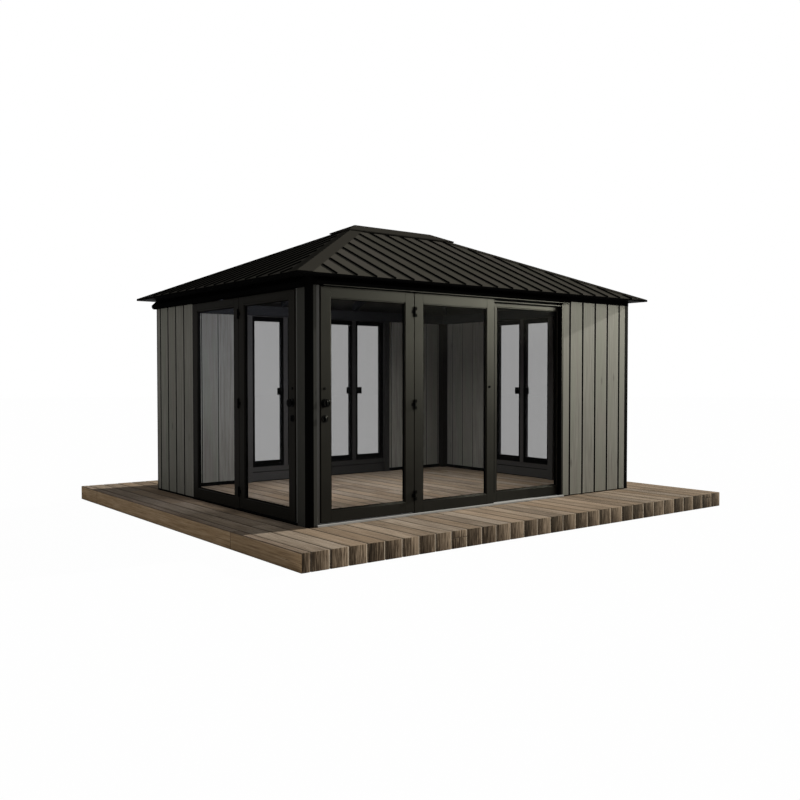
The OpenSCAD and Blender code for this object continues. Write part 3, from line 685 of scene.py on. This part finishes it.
buildDeck()
print("deck laid")

# Board walls

wall = {
    "pitch": 0.232, "groove": 0.028, "depth": 0.015, "joint": 0.010, "jointDepth": 0.008,
    "behind": 0.004, "narrowest": 0.02, "top": 2.336, "round": 0.003, "seed": 23,
    "pin": 0.009, "pinIn": 0.020, "pinZ": 2.303, "pinOut": 0.0012, "pinBack": 0.002, "pinEdge": 0.001,
}

# where openings and walls meet along the front and the back
line = (0.095, 1.255, 2.415, 3.575)


def grooves(first, count, way=1):
    return [first + way * wall["pitch"] * step for step in range(count)]


# each wall: node, axis it runs along, start and end along it, its outer and inner face, foot, grooves
wallRuns = [
    ("front_wall", 0, line[3], 4.735, 0.0, 0.065, 0.010, grooves(line[3] + 0.116, 5)),
    ("left_wall", 1, 2.542, 3.580, 0.0, 0.065, 0.020, grooves(3.484, 4, -1)),
    ("back_wall_left", 0, 0.065, line[1], 3.600, 3.535, 0.010, grooves(0.119, 5)),
    ("back_wall_right", 0, line[3], 4.735, 3.600, 3.535, 0.010, grooves(line[3] + 0.116, 5)),
    ("right_wall_front", 1, 0.065, 1.220, 4.800, 4.735, 0.010, grooves(0.988, 4, -1)),
    ("right_wall_back", 1, 2.380, 3.535, 4.800, 4.735, 0.010, grooves(2.612, 4)),
]


def alongWall(axis, along0, along1, across0, across1, z0, z1):
    # two corners of a block that runs along x or y in the pod
    across = sorted((across0, across1))
    low = (along0, across[0]) if axis == 0 else (across[0], along0)
    high = (along1, across[1]) if axis == 0 else (across[1], along1)
    return podPoint(*low, z0), podPoint(*high, z1)


def buildWall(node, axis, start, end, outer, inner, foot, cuts, rng):
    # boards on both faces of a black core, and a small black mark near the top of each outer board
    w = wall
    inward = 1 if inner > outer else -1
    boards, pins = [], []
    for face, into, gap, depth in ((outer, inward, w["groove"], w["depth"]),
                                   (inner, -inward, w["joint"], w["jointDepth"])):
        edges = [start - gap / 2, *sorted(cuts), end + gap / 2]
        for a, b in zip(edges, edges[1:]):
            if b - a < gap + w["narrowest"]:
                continue
            low, high = alongWall(axis, a + gap / 2, b - gap / 2, face, face + into * (depth + w["behind"]),
                                  foot, w["top"])
            board = block("board", low, high, w["round"])
            grained(board, 2, 2, axis, rng, True)
            boards.append(board)
            if face == outer:
                x, z, half = b - gap / 2 - w["pinIn"], w["pinZ"], w["pin"] / 2
                low, high = alongWall(axis, x - half, x + half, face - into * w["pinOut"],
                                      face + into * w["pinBack"], z - half, z + half)
                pins.append(block("pin", low, high, w["pinEdge"]))
    low, high = alongWall(axis, start, end, outer + inward * w["depth"],
                          inner - inward * w["jointDepth"], foot, w["top"])
    dressed(joined([block("core", low, high, 0.0)], node + "_core", "groove"), "pod", "metal")
    dressed(joined(boards, node + "_boards", "board"), "pod", "boards", node)
    dressed(joined(pins, node + "_pins", "groove"), "pod", "hardware")


boardRng = random.Random(wall["seed"])
for run in wallRuns:
    buildWall(*run, boardRng)
print("walls boarded")

# Door leaves

leaf = {
    "stile": 0.112, "bottom": 0.112, "thick": 0.045, "edge": 0.0022,
    "bead": 0.012, "step": 0.009, "beadEdge": 0.003, "lap": 0.001,
    "gasket": 0.005, "gasketIn": 0.010, "gasketDepth": 0.0105, "fine": 0.001,
    "glass": 0.008, "stripTop": 2.200, "stripOut": 0.003, "stripEdge": 0.0008,
    "litStripWide": 0.036, "gapAt": 0.038, "gapWide": 0.007,
}

# each leaf: name, body, node, place, width, height, top rail, sides where slim
leafRuns = [
    ("front_door", "front_door", "front_door_leaf", (0.143, 0.0, 0.030), 1.140, 2.270, 0.105),
    ("front_middle", "pod", "front_leaf_middle", (1.291, 0.0, 0.020), 1.140, 2.280, 0.105),
    ("front_right", "pod", "front_leaf_right", (2.439, 0.050, 0.020), 1.136, 2.240, 0.040,
     (0.080, 0.052)),
    ("side_door", "side_door", "side_door_leaf", (0.0, 1.386, 0.030, -90), 1.140, 2.249, 0.084),
    ("left_back", "pod", "left_leaf_back", (0.0, 2.534, 0.020, -90), 1.140, 2.259, 0.084),
]


def buildLeaf(name, body, node, at, wide, high, top, sides=None):
    # two full height stiles with the rails between them, beads round the glass, black gaskets
    f = leaf
    place = standing(*at)
    low, thick, bead, lap = f["bottom"], f["thick"], f["bead"], f["lap"]
    stile, right = sides or (f["stile"], f["stile"])
    bars = ring(0.0, wide, 0.0, high, (stile, right, low, top), 0.0, thick, f["edge"])
    bars += ring(stile - lap, wide - right + lap, low - lap, high - top + lap, (bead,) * 4,
                 f["step"], thick - f["step"], f["beadEdge"])
    dressed(joined(bars, name + "_frame", "frame", place), body, "metal", node)
    inner = f["gasketIn"]
    seal = ring(stile + inner, wide - right - inner, low + inner, high - top - inner,
                (f["gasket"],) * 4, f["gasketDepth"], thick - f["gasketDepth"], f["fine"])
    dressed(joined(seal, name + "_gasket", "groove", place), body, "metal")
    # on a slim leaf: a pale strip over its right stile, painted light where the jamb shades that stile, and a
    # dark gap line near its left stile
    if sides:
        strips = (("_border", "strip", wide - right, f["litStripWide"]),
                  ("_gap", "groove", f["gapAt"], f["gapWide"]))
        for suffix, finish, x, across in strips:
            strip = block("strip", (x, -f["stripOut"], low), (x + across, 0.0, f["stripTop"]), f["stripEdge"])
            dressed(joined([strip], name + suffix, finish, place), body, "metal")
    if body == "pod":
        y = thick / 2 - f["glass"] / 2
        pane = block("pane", (stile, y, low), (wide - right, y + f["glass"], high - top), f["fine"])
        return joined([pane], name + "_pane", "glass", place)


panes = [buildLeaf(*run) for run in leafRuns]
fixedPanes = joined([pane for pane in panes if pane], "fixed_panes", "glass")
fixedPanes.visible_shadow = False
dressed(fixedPanes, "pod", "glass", "fixed_leaf_glass")
print("leaves framed")

# Hinges

hinge = {
    "x": 1.287, "y": 1.390, "tall": 0.105, "radius": 0.009, "out": 0.010, "round": 0.0012,
    "plate": 0.034, "thick": 0.004, "edge": 0.001, "heights": (0.205, 1.150, 2.105), "play": 0.0005,
    "screws": (0.018, 0.028),
    "screw": [(0.0, 0.0), (0.0042, 0.0), (0.0042, 0.0012), (0.0030, 0.0018), (0.0, 0.0018)],
}


def buildHinges(name, body, place, levels, side):
    # knuckles and screwed plates of three hinges; side says which way the plates reach
    h = hinge
    parts = []
    third = h["tall"] / 3
    for middle in h["heights"]:
        for level in levels:
            low = middle - h["tall"] / 2 + level * third + h["play"]
            high = low + third - 2 * h["play"]
            parts.append(rod("knuckle", (0.0, -h["out"], low), h["radius"], high - low, h["round"]))
            x0, x1 = sorted((0.0, side * h["plate"]))
            parts.append(block("plate", (x0, -h["thick"], low), (x1, 0.0, high), h["edge"]))
            for reach in h["screws"]:
                parts.append(moved(turned("screw", h["screw"], 12), side * reach, -h["thick"],
                                   (low + high) / 2))
    dressed(joined(parts, name, "black", place), body, "hardware")


frontHinge = standing(hinge["x"], 0.0, 0.0)
sideHinge = standing(0.0, hinge["y"], 0.0, -90)
buildHinges("front_door_hinges", "front_door", frontHinge, (1,), -1)
buildHinges("front_middle_hinges", "pod", frontHinge, (0, 2), 1)
buildHinges("side_door_hinges", "side_door", sideHinge, (1,), 1)
buildHinges("left_back_hinges", "pod", sideHinge, (0, 2), -1)
print("hinges hung")

# Locks

lock = {
    "knobZ": 1.184, "studUp": 0.140, "keyDown": 0.150,
    "stud": [(0.0, 0.0), (0.013, 0.0), (0.013, 0.0074), (0.012, 0.0094), (0.010, 0.0104), (0.0, 0.0104)],
    "knob": [(0.0, 0.0), (0.042, 0.0), (0.042, 0.005), (0.039, 0.008), (0.0168, 0.008),
             (0.0168, 0.020), (0.034, 0.026), (0.039, 0.031), (0.039, 0.042), (0.0375, 0.0445),
             (0.035, 0.046), (0.031, 0.046), (0.027, 0.037), (0.0, 0.037)],
    "keyPlate": [(0.0, 0.0), (0.036, 0.0), (0.036, 0.006), (0.035, 0.008), (0.033, 0.009), (0.0, 0.009)],
    "grip": (0.012, 0.050, 0.049), "gripBase": 0.030,
    "turn": (0.014, 0.052, 0.023), "turnBase": 0.003,
    "slot": 0.006, "slotDepth": (-0.020, -0.004),
}


def uprightBar(name, size, base):
    wide, tall, reach = size
    return block(name, (-wide / 2, -reach, -tall / 2), (wide / 2, -base, tall / 2), wide * 0.30, 3)


def buildLock(name, body, place, node):
    # a stud, a dished knob with a grip, and a key plate with a turn between two slots
    knobZ = lock["knobZ"]
    keyZ = knobZ - lock["keyDown"]
    plate = turned("key plate", lock["keyPlate"])
    wide, tall, _ = lock["turn"]
    y0, y1 = lock["slotDepth"]
    for side in (-1, 1):
        x0, x1 = sorted((side * wide / 2, side * (wide / 2 + lock["slot"])))
        plate = hollowed(plate, block("slot", (x0, y0, -tall / 2), (x1, y1, tall / 2), 0.0))
    parts = [moved(turned("stud", lock["stud"], 32), 0.0, 0.0, knobZ + lock["studUp"]),
             moved(turned("knob", lock["knob"], 64), 0.0, 0.0, knobZ),
             moved(uprightBar("grip", lock["grip"], lock["gripBase"]), 0.0, 0.0, knobZ),
             moved(plate, 0.0, 0.0, keyZ),
             moved(uprightBar("turn", lock["turn"], lock["turnBase"]), 0.0, 0.0, keyZ)]
    dressed(joined(parts, name, "lock", place), body, "hardware", node)


buildLock("front_lock", "front_door", standing(0.186, 0.0, 0.0), "front_door_lock")
buildLock("side_lock", "side_door", standing(0.0, 0.289, 0.0, -90), "side_door_lock")
catch = turned("stud", lock["stud"], 32)
dressed(joined([catch], "middle_catch", "black", standing(2.358, 0.0, lock["knobZ"] + lock["studUp"])),
        "pod", "hardware")
print("locks fitted")

# Windows

window = {
    "wide": 1.160, "thick": 0.065, "sole": 0.010, "top": 2.336, "side": 0.0365, "kick": 0.125,
    "joint": 0.010, "jointDepth": 0.008, "edge": 0.002, "lap": 0.002, "fine": 0.001,
    "sashLow": 0.200, "sashTop": 2.254, "step": 0.010, "stile": 0.064, "meeting": 0.0625,
    "sashFoot": 0.080, "sashHead": 0.064, "sashEdge": 0.004, "pane": (0.050, 0.056),
    "stripWide": 0.066, "stripThick": 0.010, "coverWide": 0.090, "coverOut": 0.045,
    "coverTop": 2.260, "plateReach": 0.134, "plateTall": 0.096, "plateThick": 0.011,
    "plateZ": 1.232, "plateEdge": 0.003,
}


def buildWindow(name, place, covers, node, lining):
    # frame outside, lining inside with its cover posts, twin casements, black joints
    w = window
    wide, thick, side, step = w["wide"], w["thick"], w["side"], w["step"]
    sole, top, sashLow, sashTop = w["sole"], w["top"], w["sashLow"], w["sashTop"]
    middle, half = wide / 2, w["joint"] / 2
    kickTop = w["kick"]
    transomLow = kickTop + w["joint"]
    bars = [(0.0, side, sole, top), (wide - side, wide, sole, top), (side, wide - side, sashTop, top),
            (side, wide - side, transomLow, sashLow), (side, wide - side, sole, kickTop)]
    outside = [block("bar", (x0, 0.0, z0), (x1, thick / 2, z1), w["edge"]) for x0, x1, z0, z1 in bars]
    dressed(joined(outside, name + "_frame", "frame", place), "pod", "metal", node)
    inside = [block("bar", (x0, thick / 2, z0), (x1, thick, z1), w["edge"]) for x0, x1, z0, z1 in bars]
    posts = [(middle, w["stripWide"], w["stripThick"], sashLow, sashTop)]
    posts += [(x, w["coverWide"], w["coverOut"], 0.0, w["coverTop"]) for x in covers]
    inside += [block("post", (x - across / 2, thick, z0), (x + across / 2, thick + out, z1), w["plateEdge"])
               for x, across, out, z0, z1 in posts]
    dressed(joined(inside, name + "_lining", lining, place), "pod", "metal")
    stile, meeting, foot, head = w["stile"], w["meeting"], w["sashFoot"], w["sashHead"]
    sashes = ring(side, middle - half, sashLow, sashTop, (stile, meeting, foot, head),
                  step, thick, w["sashEdge"])
    sashes += ring(middle + half, wide - side, sashLow, sashTop, (meeting, stile, foot, head),
                   step, thick, w["sashEdge"])
    dressed(joined(sashes, name + "_sashes", "black", place), "pod", "metal")
    lap = w["lap"]
    y0, y1 = w["pane"]
    reaches = ((side + stile - lap, middle - half - meeting + lap),
               (middle + half + meeting - lap, wide - side - stile + lap))
    pair = [block("pane", (x0, y0, sashLow + foot - lap), (x1, y1, sashTop - head + lap), w["fine"])
            for x0, x1 in reaches]
    panePair = joined(pair, name + "_panes", "pane", place)
    depth, fine = w["jointDepth"], w["fine"]
    backing = [block("backing", (side, depth, kickTop - fine),
                     (wide - side, thick - depth, transomLow + fine), 0.0),
               block("backing", (middle - half - fine, step * 2, sashLow),
                     (middle + half + fine, thick - step * 2, sashTop), 0.0)]
    dressed(joined(backing, name + "_backing", "groove", place), "pod", "metal")
    return panePair


def platePair(place):
    # the two square plates between a window's casements
    w = window
    middle, y = w["wide"] / 2, w["thick"]
    pair = []
    for side in (-1, 1):
        x0, x1 = sorted((middle + side * w["stripWide"] / 2, middle + side * w["plateReach"]))
        pair.append(block("plate", (x0, y, w["plateZ"] - w["plateTall"] / 2),
                          (x1, y + w["plateThick"], w["plateZ"] + w["plateTall"] / 2), w["plateEdge"]))
    for piece in pair:
        piece.data.transform(place)
    return pair


# each window: place, where cover posts stand, node, lining; the "trim" linings are a lighter copy of the
# lining coat, painted light
windowRuns = {
    "back_left": (standing(line[1] + window["wide"], 3.600, 0.0, 180), (window["wide"],),
                  "back_window_left", "trim"),
    "back_right": (standing(line[2] + window["wide"], 3.600, 0.0, 180), (0.0, window["wide"]),
                   "back_window_right", "lining"),
    "right": (standing(4.800, 1.220, 0.0, 90), (0.0, window["wide"]), "right_window", "trim"),
}
plates, windowPanes = [], []
for name, run in windowRuns.items():
    windowPanes.append(buildWindow(name, *run))
    plates += platePair(run[0])
allPanes = joined(windowPanes, "window_panes", "pane")
allPanes.visible_shadow = False
dressed(allPanes, "pod", "glass", "window_glass")
dressed(joined(plates, "window_plates", "black"), "pod", "hardware", "window_handles")
print("windows glazed")

# Corner post, jambs, sills and head rails

corner = {"face": 0.095, "side": 0.198, "round": 0.060, "arm": 0.065, "top": 2.391, "edge": 0.0015}
rail = {
    "high": 0.083, "highLeft": 0.105, "out": 0.062, "cap": 0.006, "capGrow": 0.003, "eave": 2.391,
    "steps": 8, "lipStart": 0.140, "lipIn": 0.010, "lipDeep": 0.004, "lipTall": 0.005, "lipUnder": 0.002,
    "header": ((2.439, 0.0, 2.271), (3.545, 0.050, 2.283)), "edge": 0.001,
}
sill = {
    "high": 0.020, "out": 0.018, "outLeft": 0.006, "back": 0.165, "backLeft": 0.065,
    "slotAt": 0.010, "slot": 0.005, "slotDepth": 0.006, "leavesEnd": 2.542,
}
# jamb pieces by name: finish, nodes they replace, blocks
jambs = {
    "jamb_strips": ("strip", ("door_jambs",), [((0.095, 0.012, 0.020), (0.135, 0.065, 2.336)),
                                               ((0.012, 0.198, 0.020), (0.065, 0.238, 2.336))]),
    "end_jamb": ("frame", (), [((3.548, 0.0, 0.020), (3.575, 0.045, 2.336))]),
    "end_seal": ("groove", (), [((3.519, 0.0, 0.020), (3.548, 0.045, 2.336))]),
}
jambEdge = 0.0015
atCorner = standing(0.0, 0.0, 0.0)


def buildCorner():
    # two flat arms and a quarter round between them; the quarter round is coated black, painted shade in the
    # rounded corner
    c = corner
    arms = [block("arm", (c["round"], 0.0, 0.0), (c["face"], c["arm"], c["top"]), c["edge"]),
            block("arm", (0.0, c["round"], 0.0), (c["arm"], c["side"], c["top"]), c["edge"])]
    dressed(joined(arms, "corner_arms", "post", atCorner), "pod", "metal", "post_front_left")
    quarter = block("quarter", (0.0, 0.0, 0.0), (c["round"], c["round"], c["top"]), 0.0)
    softened(quarter, lambda co: abs(co.x) < 1e-6 and abs(co.y) < 1e-6, c["round"] - 0.001, 14)
    dressed(joined([quarter], "corner_quarter_shade", "black", atCorner), "pod", "metal")


def railOutline(high, grow):
    belly = high * 0.3
    out = rail["out"] + grow
    low = rail["eave"] - high - grow
    points = [(0.0, rail["eave"]), (0.0, low)]
    for step in range(rail["steps"] + 1):
        turn = math.radians(270 - 90 * step / rail["steps"])
        points.append((belly - out + belly * math.cos(turn), low + belly + belly * math.sin(turn)))
    points.append((-out, low + 1.5 * belly))
    return points


def buildRails():
    r = rail
    start = corner["round"]
    length = line[3] + r["out"] - start
    bar = extruded("rail", railOutline(r["high"], 0.0), length)
    cap = moved(extruded("cap", railOutline(r["high"], r["capGrow"]), r["cap"]), length - r["cap"], 0.0, 0.0)
    dressed(joined([bar, cap], "front_head_rail", "groove", standing(start, 0.0, 0.0)), "pod",
            "metal", "head_rail_front")
    # a thin lip along the foot of the front rail, and the header over the recessed leaf
    low = r["eave"] - r["high"]
    y = r["lipIn"] - r["out"]
    lip = block("lip", (r["lipStart"], y, low - r["lipUnder"]),
                (start + length - r["cap"], y + r["lipDeep"], low + r["lipTall"]), r["edge"])
    header = block("header", *r["header"], r["edge"])
    dressed(joined([lip, header], "rail_lip", "frame", atCorner), "pod", "metal")
    bar = extruded("rail", railOutline(r["highLeft"], 0.0), pod["depth"] - start)
    cap = extruded("cap", railOutline(r["highLeft"], r["capGrow"]), r["cap"])
    dressed(joined([bar, cap], "left_head_rail", "groove", standing(0.0, pod["depth"], 0.0, -90)),
            "pod", "metal", "head_rail_left")


def buildSill(name, finish, place, length, out, back, *replaced):
    # extruded track with a rounded nose and a water groove in front of the leaves
    s = sill
    high, at, slot, deep = s["high"], s["slotAt"], s["slot"], s["slotDepth"]
    outline = [(-out, 0.0), (-out, high - 0.004), (0.002 - out, high - 0.001), (0.004 - out, high),
               (at, high), (at, high - deep), (at + slot, high - deep), (at + slot, high),
               (back, high), (back, 0.0)]
    track = joined([extruded("sill", outline, length)], name, finish, place)
    dressed(track, "pod", "alloy", *replaced)


buildCorner()
buildRails()
buildSill("front_sill", "alloy", standing(corner["face"], 0.0, 0.0), line[3] - corner["face"],
          sill["out"], sill["back"], "door_sills")
# the left sill is the front's track coated black: painted shade along the shaded left foot
buildSill("left_sill", "black", standing(0.0, sill["leavesEnd"], 0.0, -90),
          sill["leavesEnd"] - corner["side"], sill["outLeft"], sill["backLeft"])
for name, (finish, replaced, corners) in jambs.items():
    strips = [block("jamb", low, high, jambEdge) for low, high in corners]
    dressed(joined(strips, name, finish, atCorner), "pod", "metal", *replaced)
print("corner, rails and sills set")

# Roof

roof = {
    "rise": 0.860, "ridge": 1.200, "eaveEnd": 0.200, "eaveSide": 0.143, "sheet": 0.010,
    "eave": 2.391, "soffit": 0.008, "pitch": 0.2343, "shift": -0.060, "margin": 0.100,
    "seamWide": 0.017, "seamHigh": 0.013, "seamIn": 0.001, "seamEnd": 0.001, "seamRound": 0.0018,
    "hipWide": 0.118, "hipGap": 0.012, "capHalf": 0.220, "underCap": 0.040, "strip": 0.006,
    "sunk": 0.001, "panGap": 0.0006, "hem": 0.0015, "hemEdge": 0.0004, "plateEdge": 0.0005,
    "plateThick": 0.012, "plateGap": 0.001, "seed": 41,
}
roof["runSide"] = pod["depth"] / 2 + roof["eaveSide"]
roof["runEnd"] = pod["length"] / 2 + roof["eaveEnd"] - roof["ridge"] / 2
roof["slopeSide"] = math.atan2(roof["rise"], roof["runSide"])
roof["slopeEnd"] = math.atan2(roof["rise"], roof["runEnd"])
roof["tip"] = roof["eave"] + roof["soffit"] + roof["sheet"] / math.cos(roof["slopeSide"])
hipRun = math.hypot(roof["runEnd"], roof["runSide"])


def slope(name, node, place, eave, ridge, length, stop, cap, shift, rng):
    # pans between standing seams, in the slope's own plane: x along the eave, y up the slope
    r = roof
    topX = (eave - ridge) / 2
    hipIn = r["hipGap"] * math.hypot(topX, length) / length
    topY = length - r["hipGap"] if ridge > 0 else length * (1 - hipIn / topX)
    cornerX = hipIn + topY * topX / length
    seams = [eave / 2 + shift + k * r["pitch"] for k in range(-12, 13)]
    seams = [x for x in seams if r["margin"] < x < eave - r["margin"]]
    edges = [hipIn, *seams, eave - hipIn]
    lean = Vector((cornerX - hipIn, topY, 0.0)).normalized()
    pans = []
    for a, b in zip(edges, edges[1:]):
        pan = block("pan", (a + r["panGap"], 0.0, -r["sheet"]), (b - r["panGap"], topY, 0.0), 0.0)
        cutAway(pan, (hipIn, 0.0, 0.0), (-lean.y, lean.x, 0.0))
        cutAway(pan, (eave - hipIn, 0.0, 0.0), (lean.y, lean.x, 0.0))
        grained(pan, 1, 2, 0, rng)
        pans.append(pan)
    dressed(joined(pans, name + "_pans", "pan", place), "pod", "roofing", node)
    # standing seams coated black: painted shade of their shaded sides
    ribs = []
    half = r["seamWide"] / 2
    for x in seams:
        edge = min(x, eave - x) - half
        rise = min(length - cap, (edge - stop) * length / topX) - r["seamEnd"]
        if rise > r["seamIn"] + 3 * r["seamHigh"]:
            ribs.append(block("rib", (x - half, r["seamIn"], -r["sunk"]), (x + half, rise, r["seamHigh"]),
                              r["seamRound"]))
    dressed(joined(ribs, name + "_ribs", "groove", place), "pod", "roofing")
    # a flat flashing strip along each hip, from the eave to under the ridge cap
    strips = []
    for side in (1, -1):
        hip = 0.0 if side > 0 else eave
        low, high = sorted((hip, hip + side * eave / 2))
        strip = block("strip", (low, 0.0, -r["sunk"]), (high, length - cap + r["underCap"], r["strip"]), 0.0)
        cutAway(strip, (hip, 0.0, 0.0), (-side * lean.y, lean.x, 0.0))
        cutAway(strip, (hip + side * stop, 0.0, 0.0), (side * lean.y, -lean.x, 0.0))
        strips.append(strip)
    return joined(strips, name + "_flashing", "roof", place)


def buildRoof():
    r = roof
    rng = random.Random(r["seed"])
    x0, y0 = -r["eaveEnd"], -r["eaveSide"]
    x1, y1 = pod["length"] - x0, pod["depth"] - y0
    capEnd = r["capHalf"] * r["runEnd"] / r["runSide"]
    tiltSide = Matrix.Rotation(r["slopeSide"], 4, "X")
    tiltEnd = Matrix.Rotation(r["slopeEnd"], 4, "X")
    # eave, ridge, length up the slope, hip strip, ridge cap and shift of the seams
    long = (x1 - x0, r["ridge"], math.hypot(r["runSide"], r["rise"]), r["hipWide"] * hipRun / r["runSide"],
            r["capHalf"] / math.cos(r["slopeSide"]), r["shift"], rng)
    short = (y1 - y0, 0.0, math.hypot(r["runEnd"], r["rise"]), r["hipWide"] * hipRun / r["runEnd"],
             capEnd / math.cos(r["slopeEnd"]), 0.0, rng)
    flashings = [
        slope("front_roof", "roof_front", standing(x0, y0, r["tip"]) @ tiltSide, *long),
        slope("back_roof", "roof_back", standing(x1, y1, r["tip"], 180) @ tiltSide, *long),
        slope("left_roof", "roof_left", standing(x0, y1, r["tip"], -90) @ tiltEnd, *short),
        slope("right_roof", "roof_right", standing(x1, y0, r["tip"], 90) @ tiltEnd, *short),
    ]
    dressed(joined(flashings, "hip_strips", "roof"), "pod", "roofing", "hip_flashings")
    # black hems close the eave edges, and black plates stand over the boards; the plates' black is partly
    # their own coat and partly painted shade under the eave
    hem, thick = r["hem"], r["plateThick"]
    hems = [(x0 - hem, x1 + hem, y0 - hem, y0), (x0 - hem, x1 + hem, y1, y1 + hem),
            (x0 - hem, x0, y0, y1), (x1, x1 + hem, y0, y1)]
    trims = [block("hem", (xa, ya, r["eave"]), (xb, yb, r["tip"]), r["hemEdge"])
             for xa, xb, ya, yb in hems]
    length, depth = pod["length"], pod["depth"]
    plates = [(line[3] + rail["out"], length + hem, -hem, thick),
              (0.0, length + hem, depth - thick, depth + hem), (length - thick, length + hem, 0.0, depth)]
    foot = wall["top"] + r["plateGap"]
    trims += [block("plate", (xa, ya, foot), (xb, yb, r["eave"]), r["plateEdge"])
              for xa, xb, ya, yb in plates]
    dressed(joined(trims, "eave_trim", "groove", atCorner), "pod", "metal")


buildRoof()
print("roof laid")

# Camera, light and floor

camera = {"at": (-6.7416, -8.8044, 1.6162), "turn": 0.6626, "down": 0.0279, "lens": 39.17, "sensor": 36.0}
sunlight = {"power": 8.0, "comesFrom": (1.0, -0.10, 0.35), "angle": 0.6, "colour": (1.0, 0.965, 0.91)}
# each lamp: power, size, place, aim, colour, spread, rays that don't meet it;
# the gloss card lends its shine to the front frames, and no light
lamps = {
    "softbox": (40.0, (6.0, 3.6), (9.5, -7.2, 4.4), (1.0, -1.8, 1.6), (1.0, 0.975, 0.90), 180.0,
                ("glossy",)),
    "gloss card": (36500.0, (8.0, 5.0), (9.9, -9.2, 4.9), (1.0, -1.8, 1.6), (1.0, 0.98, 0.78), 180.0,
                   ("diffuse", "transmission")),
    "room": (44.0, (3.4, 2.2), (0.0, 0.0, 2.45), (0.0, 0.0, 0.0), (1.0, 1.0, 1.0), 110.0,
             ("glossy", "camera")),
    "wall wash": (24.0, (1.8, 0.9), (-1.5, -0.2, 2.1), (-1.0, 1.8, 1.6), (0.96, 1.0, 1.16), 180.0,
                  ("glossy", "camera")),
}
studio = {"world": 0.31, "floor": 0.50, "floorGlow": 0.985, "floorRadius": 60.0, "floorZ": -0.001,
          "flag": (4.860, 1.800, 1.220), "flagSize": (2.30, 1.24)}


def unseenBy(piece, rays):
    for ray in rays:
        setattr(piece, "visible_" + ray, False)


def hung(name, data, at=(0.0, 0.0, 0.0)):
    holder = bpy.data.objects.new(name, data)
    holder.location = at
    bpy.context.scene.collection.objects.link(holder)
    return holder


def addCamera():
    lens = bpy.data.cameras.new("camera")
    lens.lens = camera["lens"]
    lens.sensor_width = camera["sensor"]
    holder = hung("camera", lens, camera["at"])
    holder.rotation_euler = (math.pi / 2 - camera["down"], 0.0, -camera["turn"])
    bpy.context.scene.camera = holder


def addLamps():
    sun = bpy.data.lights.new("sun", "SUN")
    sun.energy = sunlight["power"]
    sun.angle = math.radians(sunlight["angle"])
    sun.color = sunlight["colour"]
    hung("sun", sun).rotation_euler = Vector(sunlight["comesFrom"]).to_track_quat("Z", "Y").to_euler()
    for name, (power, size, at, aim, colour, spread, rays) in lamps.items():
        lamp = bpy.data.lights.new(name, "AREA")
        lamp.shape = "RECTANGLE"
        lamp.energy = power
        lamp.size, lamp.size_y = size
        lamp.color = colour
        lamp.spread = math.radians(spread)
        holder = hung(name, lamp, at)
        holder.rotation_euler = (Vector(at) - Vector(aim)).to_track_quat("Z", "Y").to_euler()
        unseenBy(holder, rays)


def backdropShare(tree):
    # 1 where the camera, gloss or glass looks, so that they meet white
    path = addNode(tree, "ShaderNodeLightPath")
    seen = path
    for name in ("Is Glossy Ray", "Is Transmission Ray"):
        seen = seen + Signal(tree, path.socket.node.outputs[name])
    return addNode(tree, "ShaderNodeClamp", None, {0: seen})


def addWorld():
    world = bpy.data.worlds.new("studio")
    bpy.context.scene.world = world
    world.use_nodes = True
    tree = world.node_tree
    ground = tree.nodes["Background"]
    strength = backdropShare(tree) * (1.0 - studio["world"]) + studio["world"]
    tree.links.new(strength.socket, ground.inputs["Strength"])
    ground.inputs["Color"].default_value = (1.0, 1.0, 1.0, 1.0)


def addFloor():
    nothingSelected()
    bpy.ops.mesh.primitive_circle_add(vertices=96, radius=studio["floorRadius"], fill_type="NGON",
                                      location=(0.0, 0.0, studio["floorZ"]))
    floor = bpy.context.object
    floor.name = "studio_floor"
    material = bpy.data.materials.new("studio floor")
    material.use_nodes = True
    tree = material.node_tree
    tree.nodes.clear()
    diffuse = addNode(tree, "ShaderNodeBsdfDiffuse", None, {"Color": (studio["floor"],) * 3})
    glow = addNode(tree, "ShaderNodeEmission", None, {"Color": (1.0, 1.0, 1.0), "Strength": 1.0})
    mixed = addNode(tree, "ShaderNodeMixShader", None,
                    {0: backdropShare(tree) * studio["floorGlow"], 1: diffuse, 2: glow})
    addNode(tree, "ShaderNodeOutputMaterial", None, {"Surface": mixed})
    floor.data.materials.append(material)


def addFlag():
    # an unseen card outside the end window keeps the low sun off the room's floor
    nothingSelected()
    bpy.ops.mesh.primitive_plane_add(size=1.0, location=podPoint(*studio["flag"]),
                                     rotation=(0.0, math.pi / 2, 0.0))
    flag = bpy.context.object
    flag.name = "studio_flag"
    flag.scale = (*studio["flagSize"], 1.0)
    unseenBy(flag, ("camera", "diffuse", "glossy", "transmission"))


addCamera()
addLamps()
addFlag()
addWorld()
addFloor()
bpy.context.scene.view_settings.view_transform = "Standard"
print("camera, lamps and floor set")

nothingSelected()
